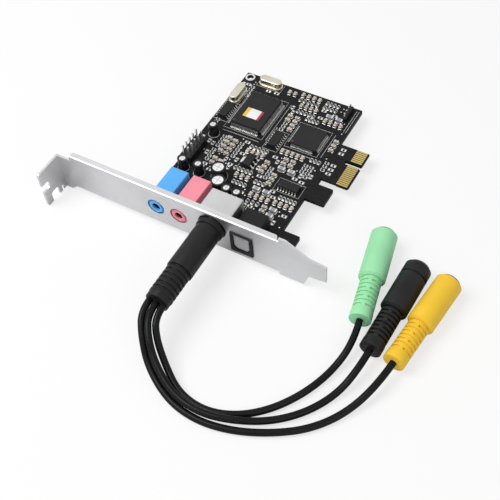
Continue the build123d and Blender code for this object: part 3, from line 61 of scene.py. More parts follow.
# Cords, with the routes of the source, drawn together into a bundle where they leave the plug
CORD_RADIUS = 1.3 * MM
CORD_Z = 1.45 * MM
INLINE_Z = 5.15 * MM
PLUG_AXIS_X = 12.39 * MM
PLUG_AXIS_Z = 13.26 * MM
PLUG_END_Y = -75.3 * MM
CORD_SPACING = 2.9 * MM
GREEN_ROUTE = [
    (PLUG_AXIS_X + CORD_SPACING, PLUG_END_Y, PLUG_AXIS_Z),
    (PLUG_AXIS_X + CORD_SPACING, PLUG_END_Y - 5.4 * MM, PLUG_AXIS_Z),
    (0.0186, -0.0860, 0.0098),
    (0.0242, -0.0908, 0.0047),
    (0.0334, -0.0972, 0.0019),
    (0.0444, -0.0990, CORD_Z),
    (0.0550, -0.0958, CORD_Z),
    (0.0644, -0.0884, CORD_Z),
    (0.0718, -0.0776, CORD_Z),
    (0.0764, -0.0656, CORD_Z),
    (0.0788, -0.0540, INLINE_Z),
    (0.0769, -0.0446, INLINE_Z),
]
BLACK_ROUTE = [
    (PLUG_AXIS_X, PLUG_END_Y, PLUG_AXIS_Z),
    (PLUG_AXIS_X, PLUG_END_Y - 5.4 * MM, PLUG_AXIS_Z),
    (0.0157, -0.0867, 0.0115),
    (0.0217, -0.0930, 0.0072),
    (0.0325, -0.0994, 0.0039),
    (0.0444, -0.1011, CORD_Z + 1.8 * MM),
    (0.0560, -0.0981, CORD_Z + 1.6 * MM),
    (0.0666, -0.0922, CORD_Z + 0.3 * MM),
    (0.0756, -0.0836, CORD_Z),
    (0.0818, -0.0726, CORD_Z),
    (0.0848, -0.0624, INLINE_Z),
    (0.0851, -0.0539, INLINE_Z),
]
YELLOW_ROUTE = [
    (PLUG_AXIS_X - CORD_SPACING, PLUG_END_Y, PLUG_AXIS_Z),
    (PLUG_AXIS_X - CORD_SPACING, PLUG_END_Y - 5.5 * MM, PLUG_AXIS_Z),
    (0.0132, -0.0873, 0.0100),
    (0.0198, -0.0947, 0.0044),
    (0.0318, -0.1014, 0.0017),
    (0.0444, -0.1033, CORD_Z),
    (0.0570, -0.1010, CORD_Z),
    (0.0690, -0.0956, CORD_Z),
    (0.0796, -0.0882, CORD_Z),
    (0.0876, -0.0774, CORD_Z),
    (0.0930, -0.0650, INLINE_Z),
    (0.0942, -0.0548, INLINE_Z),
]
CORDS = {
    "green": (GREEN_ROUTE, 0.114),
    "black": (BLACK_ROUTE, 0.117),
    "yellow": (YELLOW_ROUTE, 0.129),
}

# Board and bracket
BOARD_TOP = 6.16 * MM
BOARD_LOW = Vector((-21.41, -34.3)) * MM
BOARD_HIGH = Vector((34.19, 49.5)) * MM
FACE_Y = -37.3 * MM
JACK_Z = 11.26 * MM
LINE_IN_X = -13.01 * MM
MIC_X = -2.71 * MM

# Breakout plug's overmould, distances from the bracket's face
PLUG_START = 0.5 * MM
PLUG_COLLAR_RADIUS = 5.6 * MM
PLUG_COLLAR_END = 2.4 * MM
PLUG_GROOVE_RADIUS = 4.9 * MM
PLUG_GROOVE_END = 2.9 * MM
PLUG_RADIUS = 5.2 * MM
PLUG_BODY_END = 23.0 * MM
PLUG_LENGTH = 38.0 * MM
PLUG_END = 2.4 * MM
PLUG_RIBS = 6
PLUG_RIB_RADIUS = 4.8 * MM
PLUG_NECK_RADIUS = 4.25 * MM
PLUG_END_RADIUS = 4.6 * MM
SHELL_RADIUS = 4.78 * MM

# In-line jacks, distances from the mouth
INLINE_RADIUS = 5.1 * MM
INLINE_LENGTH = 39.6 * MM
INLINE_BODY = 22.0 * MM
INLINE_EDGE = 0.7 * MM
INLINE_SHOULDER = 0.8 * MM
INLINE_RIBS = 8
INLINE_RIB_RADIUS = 4.0 * MM
INLINE_NECK_RADIUS = 3.3 * MM
INLINE_END_RADIUS = 4.1 * MM
INLINE_END = 3.2 * MM
LINER_RADIUS = 2.93 * MM
LINER_DEPTH = 16.5 * MM
RIB_GAP = 0.45  # share of a rib's pitch
WEB_WIDTH = 1.5 * MM
WEB_SINK = 0.1 * MM
WEB_ROUNDING = 0.08  # share of the web
RIM_BORE = 2.0 * MM
RIM_RADIUS = 3.9 * MM
RIM_PROUD = 0.7 * MM
BLACK_RING_START = 5.2 * MM
BLACK_RING_WIDTH = 0.7 * MM
BLACK_RING_DEPTH = 0.4 * MM

# Black sleeves of painted shade inside the panel jacks' bores, distances from the bracket's face
SHADE_SLEEVE_BORE = 1.68 * MM
SHADE_SLEEVE_RADIUS = 1.78 * MM
SHADE_SLEEVE_START = 0.7 * MM
SHADE_SLEEVE_END = 13.5 * MM

# Facets and edges of the turned pieces
MOULDING_STEPS = 56
RIM_STEPS = 40
RING_STEPS = 32
PLUG_ROUNDING = 0.22 * MM
INLINE_ROUNDING = 0.2 * MM
RIM_ROUNDING = 0.12 * MM
SHADE_SLEEVE_ROUNDING = 0.02 * MM

# Print on the board
SILK_RADIUS = 0.09 * MM
RING_CORNERS = 28
CHIP_FRAME_GAP = 0.5 * MM
CHIP_LINE_GAP = 2.1 * MM
SMALL_CHIP_FRAME_GAP = 1.4 * MM
CAN_RING_GAP = 0.35 * MM
PART_PRINT_GAP = 0.3 * MM
HATCH_X = (32.2 * MM, 33.2 * MM)
HATCH_Y = (34.5 * MM, 48.2 * MM)
HATCH_ROOM = (Vector((31.5, 34.2, 0)) * MM, Vector((33.9, 48.5, 0)) * MM)

# Copper and solder on the board
PAD_GROW = 0.14 * MM
PAD_HEIGHT = 0.05 * MM
PAD_ROUNDING = 0.12  # share of the pad
BARE_PAD = Vector((0.75, 0.9)) * MM
BARE_GAP = 1.5 * MM
BARE_PRINT_GAP = 0.18 * MM
BARE_PRINT_ROOM = 0.25 * MM
BARE_TRIES = 420
NECK_PADS = (0.16, 0.28, 0.4, 0.76, 0.88)  # shares of the contacts' run
NECK_INSET = 2.6 * MM
VIA_RADIUS = 0.3 * MM
VIA_RIM = 0.45  # share of the radius
VIA_SINK = 0.6  # share of a pad's height
VIA_ROOM = 0.5 * MM
VIA_TRIES = 420
CORNER_HOLE = Vector((-19.01, 47.1)) * MM
CORNER_PAD_BORE = 1.45 * MM
CORNER_PAD_RADIUS = 2.2 * MM
JOINT_FOOT = 0.95 * MM
JOINT_TIP = 0.45 * MM
JOINT_HEIGHT = 0.7 * MM
JOINT_ROUNDING = 0.08 * MM
LEAD_TIP = 0.2 * MM

# Room that is kept free round the parts on the board
CONNECTORS_BACK = -22.0 * MM
EDGE_MARGIN = 1.0 * MM
HOLE_MARGIN = 3.2 * MM
CHIP_MARGIN = 4.0 * MM
SMALL_CHIP_MARGIN = 1.7 * MM
LEAD_MARGIN = 0.2 * MM
PART_MARGIN = 0.5 * MM
CLOSE_MARGIN = 0.3 * MM

# Marks on the cans and the chips
VENT_SHARE = 0.62  # of a can's width
VENT_WIDTH = 0.22 * MM
VENT_ROUNDING = 0.1  # share of the vent
PIN_MARK_RADIUS = 0.55 * MM
PIN_MARK_INSET = 2.2  # in radii
PIN_MARKS = {"audio_chip": 1.0, "bridge_chip": 1.0, "amplifier_chips": 0.6}
STICKER_SIZE = Vector((7.6, 5.4, 0.1)) * MM
STICKER_INSET = 7.5 * MM
STICKER_ROUNDING = 0.03 * MM

# Floor, light and background
FLOOR_SIZE = 6
FLOOR_DROP = 0.05 * MM
FLOOR_GLOW = 0.7
LAMP_AIM = (0.02, -0.02, 0)
LAMP_SIZE = 0.5
KEY_PLACE = (-0.35, -0.25, 0.7)
KEY_POWER = 5.2
FILL_PLACE = (0.55, -0.35, 0.45)
FILL_POWER = 0.8
SURROUND = 0.42

SEED = 11


def deselect_all():
    """Leaves edit mode, with nothing selected."""
    if bpy.context.object and bpy.context.object.mode != "OBJECT":
        bpy.ops.object.mode_set(mode="OBJECT")
    bpy.ops.object.select_all(action="DESELECT")


def pick(*objects):
    """Selects these objects alone, the first of them active."""
    deselect_all()
    for piece in objects:
        piece.select_set(True)
    bpy.context.view_layer.objects.active = objects[0]


def settle(piece):
    """Puts a piece's place, turn and scale into its mesh."""
    pick(piece)
    bpy.ops.object.transform_apply(location=True, rotation=True, scale=True)


def wear(piece, material):
    """Gives a new piece its material and lets it ride on the card."""
    piece.data.materials.clear()
    piece.data.materials.append(material)
    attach(piece, CARD)


# Camera
def place_camera():
    """Camera that sees the card as the photograph does."""
    data = bpy.data.cameras.new("photo_camera")
    data.lens = CAMERA_LENS
    data.sensor_width = CAMERA_SENSOR
    data.clip_start = 0.01
    camera = bpy.data.objects.new("photo_camera", data)
    camera.location = CAMERA_PLACE
    camera.rotation_euler = [math.radians(angle) for angle in CAMERA_TURN]
    bpy.context.collection.objects.link(camera)
    bpy.context.scene.camera = camera


place_camera()


# Materials
def start_material(name):
    """New material with its shader and the piece's own coordinates."""
    material = bpy.data.materials.new(name)
    material.use_nodes = True
    tree = material.node_tree
    shader = tree.nodes["Principled BSDF"]
    place = tree.nodes.new("ShaderNodeTexCoord").outputs["Object"]
    return material, tree, shader, place


def stretched(tree, place, scale):
    """Coordinates stretched by a scale per axis."""
    mapping = tree.nodes.new("ShaderNodeMapping")
    mapping.inputs["Scale"].default_value = scale
    tree.links.new(place, mapping.inputs["Vector"])
    return mapping.outputs["Vector"]


def noise(tree, place, scale, detail=4):
    texture = tree.nodes.new("ShaderNodeTexNoise")
    texture.inputs["Scale"].default_value = scale
    texture.inputs["Detail"].default_value = detail
    tree.links.new(place, texture.inputs["Vector"])
    return texture.outputs["Fac"]


def ramp(tree, factor, stops, constant=False):
    """Colour ramp through stops of position and colour."""
    node = tree.nodes.new("ShaderNodeValToRGB")
    node.color_ramp.interpolation = "CONSTANT" if constant else "LINEAR"
    elements = node.color_ramp.elements
    while len(elements) < len(stops):
        elements.new(0.5)
    for element, (position, colour) in zip(elements, stops):
        element.position = position
        element.color = (*colour, 1)
    tree.links.new(factor, node.inputs["Fac"])
    return node.outputs["Color"]


def spread(tree, factor, low, high):
    """Maps a noise's middle range to a range of values."""
    node = tree.nodes.new("ShaderNodeMapRange")
    node.inputs["From Min"].default_value = 0.3
    node.inputs["From Max"].default_value = 0.7
    node.inputs["To Min"].default_value = low
    node.inputs["To Max"].default_value = high
    tree.links.new(factor, node.inputs["Value"])
    return node.outputs["Result"]


def bump(tree, shader, height, strength, distance):
    node = tree.nodes.new("ShaderNodeBump")
    node.inputs["Strength"].default_value = strength
    node.inputs["Distance"].default_value = distance
    tree.links.new(height, node.inputs["Height"])
    tree.links.new(node.outputs["Normal"], shader.inputs["Normal"])


def shade(colour, factor):
    """Colour made darker or lighter."""
    return tuple(min(1.0, value * factor) for value in colour)


def tint(tree, shader, place, scale, colour, variation):
    """Base colour that drifts slowly over the piece."""
    stops = [(0.3, shade(colour, 1 - variation)), (0.7, shade(colour, 1 + variation))]
    tree.links.new(ramp(tree, noise(tree, place, scale), stops), shader.inputs["Base Color"])


def moulded(name, colour, roughness, grain=2600, variation=0.12, depth=0.25, specular=0.5):
    """Moulded plastic or rubber: fine texture of the mould, slight colour drift and rub marks."""
    material, tree, shader, place = start_material(name)
    tint(tree, shader, place, 140, colour, variation)
    rub = noise(tree, place, 420, 6)
    tree.links.new(spread(tree, rub, roughness - 0.08, roughness + 0.08), shader.inputs["Roughness"])
    bump(tree, shader, noise(tree, place, grain, 3), depth, 0.04 * MM)
    shader.inputs["Specular IOR Level"].default_value = specular
    return material


def metal(name, colour, roughness, stretch=(1, 1, 1), grain=900, variation=0.08):
    """Plated or drawn metal: streaks along the rolling direction and tarnish."""
    material, tree, shader, place = start_material(name)
    streak = noise(tree, stretched(tree, place, stretch), grain, 5)
    tint(tree, shader, place, 90, colour, variation)
    tree.links.new(spread(tree, streak, roughness - 0.07, roughness + 0.07), shader.inputs["Roughness"])
    shader.inputs["Metallic"].default_value = 1
    bump(tree, shader, streak, 0.12, 0.02 * MM)
    return material


def solder_mask(name):
    """Black lacquer over copper, with traces raised under it."""
    material, tree, shader, place = start_material(name)
    copper = tree.nodes.new("ShaderNodeTexBrick")
    copper.inputs["Scale"].default_value = 330
    copper.inputs["Mortar Size"].default_value = 0.035
    copper.inputs["Mortar Smooth"].default_value = 0.3
    copper.inputs["Color1"].default_value = (0.006, 0.006, 0.007, 1)
    copper.inputs["Color2"].default_value = (0.011, 0.011, 0.012, 1)
    copper.inputs["Mortar"].default_value = (0.022, 0.022, 0.023, 1)
    tree.links.new(place, copper.inputs["Vector"])
    tree.links.new(copper.outputs["Color"], shader.inputs["Base Color"])
    tree.links.new(spread(tree, noise(tree, place, 700), 0.24, 0.42), shader.inputs["Roughness"])
    bump(tree, shader, copper.outputs["Fac"], 0.3, 0.04 * MM)
    shader.inputs["Specular IOR Level"].default_value = 0.08
    return material


def print_ink(name, colour):
    """Screen-printed ink, thinner here and there."""
    material, tree, shader, place = start_material(name)
    thin = noise(tree, place, 1800, 5)
    ink = ramp(tree, thin, [(0.35, shade(colour, 0.72)), (0.6, colour)])
    tree.links.new(ink, shader.inputs["Base Color"])
    tree.links.new(spread(tree, thin, 0.5, 0.7), shader.inputs["Roughness"])
    return material


def sticker_paper(name, centre_x, width):
    """Plain sticker in three straight fields of colour."""
    material, tree, shader, place = start_material(name)
    split = tree.nodes.new("ShaderNodeSeparateXYZ")
    tree.links.new(place, split.inputs["Vector"])
    across = tree.nodes.new("ShaderNodeMapRange")
    across.inputs["From Min"].default_value = centre_x - width / 2
    across.inputs["From Max"].default_value = centre_x + width / 2
    tree.links.new(split.outputs["X"], across.inputs["Value"])
    fields = [(0.0, (0.78, 0.50, 0.06)), (0.22, (0.84, 0.84, 0.82)), (0.86, (0.42, 0.03, 0.07))]
    colours = ramp(tree, across.outputs["Result"], fields, constant=True)
    tree.links.new(colours, shader.inputs["Base Color"])
    tree.links.new(spread(tree, noise(tree, place, 900), 0.3, 0.5), shader.inputs["Roughness"])
    return material


# Metals: colour, roughness, stretch of the streaks, grain, drift of the colour
bracket_steel = metal("bracket_steel", (0.60, 0.60, 0.61), 0.38, (0.06, 1, 1), 1500, 0.05)
shield_steel = metal("shield_steel", (0.56, 0.56, 0.56), 0.34, (1, 0.06, 1), 1500, 0.06)
tin = metal("tin", (0.72, 0.72, 0.71), 0.3, grain=2400, variation=0.1)
gold = metal("gold", (0.60, 0.47, 0.17), 0.34, (0.06, 1, 1), 2400, 0.1)
can_aluminium = metal("can_aluminium", (0.78, 0.78, 0.78), 0.42, grain=1600, variation=0.04)
crystal_steel = metal("crystal_steel", (0.64, 0.60, 0.50), 0.34, (1, 1, 0.1), 1200, 0.08)
# Darker metal of the can vents: painted shade of the scored grooves
vent_painted_shade = metal("vent_painted_shade", (0.42, 0.42, 0.42), 0.4, grain=2000)

# Mouldings: colour, roughness, grain, drift of the colour, depth of the texture, gloss
chip_black = moulded("chip_black", (0.014, 0.014, 0.015), 0.5, 5200, 0.2, 0.4, 0.2)
sleeve_black = moulded("sleeve_black", (0.01, 0.01, 0.013), 0.3, 1500, 0.2, 0.1, 0.25)
resistor_black = moulded("resistor_black", (0.03, 0.03, 0.032), 0.4, 5200, 0.3, 0.2)
ceramic_tan = moulded("ceramic_tan", (0.46, 0.38, 0.27), 0.5, 5200, 0.25, 0.2)
ferrite_grey = moulded("ferrite_grey", (0.30, 0.30, 0.31), 0.55, 5200, 0.2, 0.3)
blue_plastic = moulded("blue_plastic", (0.09, 0.40, 0.86), 0.45, 3200, 0.06)
pink_plastic = moulded("pink_plastic", (0.88, 0.27, 0.34), 0.45, 3200, 0.06)
black_plastic = moulded("black_plastic", (0.008, 0.008, 0.009), 0.45, 3200, 0.2, 0.25, 0.2)
door_grey = moulded("door_grey", (0.40, 0.40, 0.41), 0.4, 3200, 0.06)
cable_black = moulded("cable_black", (0.008, 0.008, 0.009), 0.42, 1800, 0.25, 0.2, 0.22)
cord_black = moulded("cord_black", (0.005, 0.005, 0.006), 0.3, 1800, 0.25, 0.1, 0.13)
green_plastic = moulded("green_plastic", (0.33, 0.74, 0.41), 0.48, 1800, 0.04, 0.2, 0.3)
yellow_plastic = moulded("yellow_plastic", (0.87, 0.55, 0.035), 0.48, 1800, 0.04, 0.2, 0.3)
liner_grey = moulded("liner_grey", (0.10, 0.10, 0.10), 0.4, 2600, 0.15)

mask_black = solder_mask("mask_black")
silk_white = print_ink("silk_white", (0.82, 0.82, 0.80))
slot_finish = {
    "bracket_steel": bracket_steel,
    "board": mask_black,
    "gold": gold,
    "chip_black": chip_black,
    "tin": tin,
    "can_aluminium": can_aluminium,
    "sleeve_black": sleeve_black,
    "crystal_steel": crystal_steel,
    "resistor_black": resistor_black,
    "ceramic_tan": ceramic_tan,
    "ferrite_grey": ferrite_grey,
    "blue_plastic": blue_plastic,
    "pink_plastic": pink_plastic,
    "shield_steel": shield_steel,
    "black_plastic": black_plastic,
    "door_grey": door_grey,
    "cable_black": cable_black,
    "green_plastic": green_plastic,
    "yellow_plastic": yellow_plastic,
    "liner_grey": liner_grey,
}
for subpart in frame["record"]["subparts"]:
    node = cad[subpart["node"]]
    node.data.materials.clear()
    node.data.materials.append(slot_finish[subpart["material_slot"]])


# Cords
def lay_cord(colour, route):
    """Cord through its route's points."""
    curve = bpy.data.curves.new(colour + "_lead", "CURVE")
    curve.dimensions = "3D"
    curve.bevel_depth = CORD_RADIUS
    curve.bevel_resolution = 6
    curve.resolution_u = 16
    curve.use_fill_caps = True
    spline = curve.splines.new("NURBS")
    spline.points.add(len(route) - 1)
    for point, place in zip(spline.points, route):
        point.co = (*place, 1)
    spline.order_u = 3
    spline.use_endpoint_u = True
    lead = bpy.data.objects.new(colour + "_lead", curve)
    bpy.context.collection.objects.link(lead)
    wear(lead, cord_black)
    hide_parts(colour + "_cord")


# Repeated shapes
def copies(master, places, name):
    """Copies of a master at each place, joined into one piece; the master goes."""
    made = []
    for place in places:
        copy = master.copy()
        copy.data = master.data.copy()
        copy.matrix_world = place
        bpy.context.collection.objects.link(copy)
        made.append(copy)
    bpy.data.objects.remove(master)
    pick(*made)
    bpy.ops.object.join()
    piece = bpy.context.object
    piece.name = name
    settle(piece)
    return piece


def scaled(centre, size):
    """Place of a master of unit size."""
    return Matrix.LocRotScale(centre, None, size)


def soften(piece, width, segments):
    """Rounds a piece's edges and shades it smooth."""
    rounding = piece.modifiers.new("rounding", "BEVEL")
    rounding.width = width
    rounding.segments = segments
    rounding.limit_method = "ANGLE"
    rounding.angle_limit = math.radians(30)
    pick(piece)
    bpy.ops.object.modifier_apply(modifier=rounding.name)
    bpy.ops.object.shade_smooth_by_angle(angle=math.radians(50))


def block(rounding):
    """Unit cube with rounded edges, to be scaled."""
    deselect_all()
    bpy.ops.mesh.primitive_cube_add(size=1)
    cube = bpy.context.object
    soften(cube, rounding, 1)
    return cube


def sunk_disc(vertices, radius, height, rim, sink):
    """Flat disc with its top sunk inside a rim."""
    deselect_all()
    bpy.ops.mesh.primitive_cylinder_add(vertices=vertices, radius=radius, depth=height)
    disc = bpy.context.object
    bpy.ops.object.mode_set(mode="EDIT")
    bpy.ops.mesh.select_all(action="DESELECT")
    bpy.ops.object.mode_set(mode="OBJECT")
    for face in disc.data.polygons:
        face.select = face.normal.z > 0.9
    bpy.ops.object.mode_set(mode="EDIT")
    bpy.ops.mesh.inset(thickness=rim)
    bpy.ops.transform.translate(value=(0, 0, -sink))
    bpy.ops.object.mode_set(mode="OBJECT")
    return disc


# Turned mouldings
def turn_profile(name, profile, steps):
    """Shell turned about Y from a profile of radii and distances."""
    deselect_all()
    bpy.ops.mesh.primitive_plane_add(size=MM)
    piece = bpy.context.object
    piece.name = name
    bpy.ops.object.mode_set(mode="EDIT")
    bpy.ops.mesh.select_all(action="SELECT")
    bpy.ops.mesh.merge(type="CENTER")
    radius, distance = profile[0]
    bpy.ops.transform.translate(value=(radius, distance, 0))
    for next_radius, next_distance in profile[1:]:
        step = (next_radius - radius, next_distance - distance, 0)
        bpy.ops.mesh.extrude_region_move(TRANSFORM_OT_translate={"value": step})
        radius, distance = next_radius, next_distance
    bpy.ops.mesh.select_all(action="SELECT")
    bpy.ops.mesh.spin(steps=steps, angle=2 * math.pi, center=(0, 0, 0), axis=(0, 1, 0))
    bpy.ops.mesh.select_all(action="SELECT")
    bpy.ops.mesh.remove_doubles(threshold=0.001 * MM)
    bpy.ops.mesh.normals_make_consistent(inside=False)
    bpy.ops.object.mode_set(mode="OBJECT")
    return piece


def ring_profile(bore, radius, start, end):
    """Closed profile of a ring."""
    return [(bore, start), (radius, start), (radius, end), (bore, end), (bore, start)]


def ribs(start, end, count, neck, rib):
    """Profile of a ribbed strain relief."""
    pitch = (end - start) / count
    profile = []
    for k in range(count):
        low = start + k * pitch
        groove_end = low + RIB_GAP * pitch
        profile += [(neck, low), (neck, groove_end), (rib, groove_end), (rib, low + pitch)]
    return profile


def make_plug():
    """Overmould of the breakout plug with its ribbed tail."""
    rib_end = PLUG_LENGTH - PLUG_END
    profile = [
        (SHELL_RADIUS, PLUG_START),
        (PLUG_COLLAR_RADIUS, PLUG_START),
        (PLUG_COLLAR_RADIUS, PLUG_COLLAR_END),
        (PLUG_GROOVE_RADIUS, PLUG_COLLAR_END),
        (PLUG_GROOVE_RADIUS, PLUG_GROOVE_END),
        (PLUG_RADIUS, PLUG_GROOVE_END),
        (PLUG_RADIUS, PLUG_BODY_END),
    ]
    profile += ribs(PLUG_BODY_END, rib_end, PLUG_RIBS, PLUG_NECK_RADIUS, PLUG_RIB_RADIUS)
    profile += [(PLUG_END_RADIUS, rib_end), (PLUG_END_RADIUS, PLUG_LENGTH), (0, PLUG_LENGTH)]
    plug = turn_profile("plug_moulding", profile, MOULDING_STEPS)
    soften(plug, PLUG_ROUNDING, 3)
    outwards = Matrix.Rotation(math.pi, 4, "Z")
    plug.matrix_world = Matrix.Translation((PLUG_AXIS_X, FACE_Y, PLUG_AXIS_Z)) @ outwards
    settle(plug)
    wear(plug, cable_black)
    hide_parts("plug_overmould")
    return plug


def groove_webs(start, end, count, neck, rib):
    """Webs across a strain relief's grooves, two to a groove, each pair a quarter turn from the last."""
    pitch = (end - start) / count
    size = (rib - neck + WEB_SINK, RIB_GAP * pitch + WEB_SINK, WEB_WIDTH)
    middle = (neck + rib) / 2 - WEB_SINK
    places = []
    for k in range(count):
        distance = start + (k + RIB_GAP / 2) * pitch
        for side in (0, math.pi):
            turn = Matrix.Rotation(side + k * math.pi / 2, 4, "Y")
            places.append(turn @ scaled(Vector((middle, distance, 0)), size))
    return copies(block(WEB_ROUNDING), places, "groove_webs")


def make_inline_jack(colour, route, material, slot):
    """Jack's moulding with its ribbed tail and the rim of its bore, laid along the cord's last run."""
    rib_end = INLINE_LENGTH - INLINE_END
    profile = [
        (LINER_RADIUS, LINER_DEPTH),
        (LINER_RADIUS, 0),
        (INLINE_RADIUS - INLINE_EDGE, 0),
        (INLINE_RADIUS, INLINE_EDGE),
    ]
    if colour == "black":
        ring_end = BLACK_RING_START + BLACK_RING_WIDTH
        profile += [
            (INLINE_RADIUS, BLACK_RING_START),
            (INLINE_RADIUS - BLACK_RING_DEPTH, BLACK_RING_START),
            (INLINE_RADIUS - BLACK_RING_DEPTH, ring_end),
            (INLINE_RADIUS, ring_end),
        ]
    profile += [(INLINE_RADIUS, INLINE_BODY - INLINE_SHOULDER), (INLINE_RIB_RADIUS, INLINE_BODY)]
    profile += ribs(INLINE_BODY, rib_end, INLINE_RIBS, INLINE_NECK_RADIUS, INLINE_RIB_RADIUS)
    profile += [(INLINE_END_RADIUS, rib_end), (INLINE_END_RADIUS, INLINE_LENGTH), (0, INLINE_LENGTH)]
    jack = turn_profile(colour + "_jack_moulding", profile, MOULDING_STEPS)
    soften(jack, INLINE_ROUNDING, 3)
    webs = groove_webs(INLINE_BODY, rib_end, INLINE_RIBS, INLINE_NECK_RADIUS, INLINE_RIB_RADIUS)
    pick(jack, webs)
    bpy.ops.object.join()
    rim_profile = ring_profile(RIM_BORE, RIM_RADIUS, -RIM_PROUD, 0)
    rim = turn_profile(colour + "_jack_rim", rim_profile, RIM_STEPS)
    soften(rim, RIM_ROUNDING, 2)
    before, end = Vector(route[-2]), Vector(route[-1])
    heading = math.atan2(end.y - before.y, end.x - before.x)
    mouth = end + INLINE_LENGTH * (end - before).normalized()
    for piece in (jack, rim):
        piece.matrix_world = Matrix.Translation(mouth) @ Matrix.Rotation(heading + math.pi / 2, 4, "Z")
        settle(piece)
    wear(jack, material)
    wear(rim, liner_grey)
    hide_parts(colour + "_jack_body")
    return jack, rim


plug_moulding = make_plug()
jack_finishes = {
    "green": (green_plastic, "green_plastic"),
    "black": (cable_black, "cable_black"),
    "yellow": (yellow_plastic, "yellow_plastic"),
}
for colour, (route, length) in CORDS.items():
    on_cord = [*make_inline_jack(colour, route, *jack_finishes[colour]), cad[colour + "_jack_liner"]]
    if colour == "black":
        hidden = ("plug_shell", "plug_insert", "plug_pins", "inline_jack_springs")
        on_cord += [plug_moulding, *(cad[name] for name in hidden)]
    lay_cord(colour, route)


# Solids of the source, read as boxes
def solids(name):
    """Points of each separate solid in a CAD node."""
    mesh = cad[name].data
    parent = {}

    def root(key):
        while parent[key] != key:
            parent[key] = parent[parent[key]]
            key = parent[key]
        return key

    keys = [tuple(round(value * 1e6) for value in vertex.co) for vertex in mesh.vertices]
    for key in keys:
        parent.setdefault(key, key)
    for polygon in mesh.polygons:
        first = root(keys[polygon.vertices[0]])
        for index in polygon.vertices[1:]:
            parent[root(keys[index])] = first
    groups = {}
    for key in parent:
        groups.setdefault(root(key), []).append(Vector(key) * 1e-6)
    return sorted(groups.values(), key=lambda points: tuple(corner(points, min)))


def corner(points, choose):
    """Lowest or highest corner of the points' box."""
    return Vector([choose(point[axis] for point in points) for axis in range(3)])


def solid_boxes(name):
    """Box of each separate solid in a CAD node, as lowest and highest corner."""
    return [(corner(points, min), corner(points, max)) for points in solids(name)]


# Print on the board
def print_lines(name, lines):
    """White lines as one piece; each is a list of places in XY and whether it closes."""
    curve = bpy.data.curves.new(name, "CURVE")
    curve.dimensions = "3D"
    curve.bevel_depth = SILK_RADIUS
    curve.bevel_resolution = 0
    for points, closed in lines:
        spline = curve.splines.new("POLY")
        spline.points.add(len(points) - 1)
        for point, (x, y) in zip(spline.points, points):
            point.co = (x, y, BOARD_TOP, 1)
        spline.use_cyclic_u = closed
    piece = bpy.data.objects.new(name, curve)
    bpy.context.collection.objects.link(piece)
    pick(piece)
    bpy.ops.object.convert(target="MESH")
    wear(bpy.context.object, silk_white)


def straight(start, end):
    """Open line between two places."""
    return [start, end], False


def frame_line(low, high, grow):
    """Closed line around a box on the board."""
    x0, y0 = low.x - grow, low.y - grow
    x1, y1 = high.x + grow, high.y + grow
    return [(x0, y0), (x1, y0), (x1, y1), (x0, y1)], True


def ring_line(low, high, grow):
    """Closed round line around a can."""
    centre = (low + high) / 2
    radius = (high.x - low.x) / 2 + grow
    turns = [2 * math.pi * k / RING_CORNERS for k in range(RING_CORNERS)]
    points = [(centre.x + radius * math.cos(turn), centre.y + radius * math.sin(turn)) for turn in turns]
    return points, True


# Solder pads under every cap of the chip parts
pad_places = []
for low, high in solid_boxes("chip_end_caps"):
    centre = (low + high) / 2
    centre.z = BOARD_TOP
    size = (high.x - low.x + 2 * PAD_GROW, high.y - low.y + 2 * PAD_GROW, 2 * PAD_HEIGHT)
    pad_places.append(scaled(centre, size))
wear(copies(block(PAD_ROUNDING), pad_places, "solder_pads"), tin)

# White print: outlines of the parts
silk = []
for name in ("audio_chip_leads", "bridge_chip_leads"):
    low, high = (Vector(place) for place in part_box(name))
    right, front = high.x + CHIP_LINE_GAP, low.y - CHIP_LINE_GAP
    silk.append(frame_line(low, high, CHIP_FRAME_GAP))
    silk.append(straight((right, low.y), (right, high.y)))
    silk.append(straight((low.x, front), (high.x, front)))
for low, high in solid_boxes("amplifier_chips") + solid_boxes("regulator"):
    silk.append(frame_line(low, high, SMALL_CHIP_FRAME_GAP))
for low, high in solid_boxes("capacitor_sleeves"):
    silk.append(ring_line(low, high, CAN_RING_GAP))
for low, high in solid_boxes("crystal_cans"):
    silk.append(frame_line(low, high, PART_PRINT_GAP))
for kind in ("chip_resistors", "ceramic_capacitors", "ferrite_inductors"):
    for low, high in solid_boxes(kind):
        if high.x - low.x > high.y - low.y:
            for y in (low.y - PART_PRINT_GAP, high.y + PART_PRINT_GAP):
                silk.append(straight((low.x, y), (high.x, y)))
        else:
            for x in (low.x - PART_PRINT_GAP, high.x + PART_PRINT_GAP):
                silk.append(straight((x, low.y), (x, high.y)))
print_lines("silk_outlines", silk)

# Room on the board that parts and their print take, with the margin round each kind
taken = []
margins = {
    "audio_chip": CHIP_MARGIN,
    "bridge_chip": CHIP_MARGIN,
    "amplifier_chips": SMALL_CHIP_MARGIN,
    "amplifier_chip_leads": LEAD_MARGIN,
    "regulator": SMALL_CHIP_MARGIN,
    "regulator_legs": LEAD_MARGIN,
    "capacitor_sleeves": PART_MARGIN,
    "crystal_cans": PART_MARGIN,
    "chip_resistors": PART_MARGIN,
    "ceramic_capacitors": PART_MARGIN,
    "ferrite_inductors": PART_MARGIN,
    "chip_end_caps": CLOSE_MARGIN,
    "panel_header_base": CLOSE_MARGIN,
    "aux_header_base": CLOSE_MARGIN,
    "line_in_housing": CLOSE_MARGIN,
    "mic_housing": CLOSE_MARGIN,
    "round_socket_shield": CLOSE_MARGIN,
    "round_socket_contacts": CLOSE_MARGIN,
    "optical_housing": CLOSE_MARGIN,
}
for name, margin in margins.items():
    strip = Vector((margin, margin, 0))
    taken += [(low - strip, high + strip) for low, high in solid_boxes(name)]
taken.append(HATCH_ROOM)
draw = random.Random(SEED)


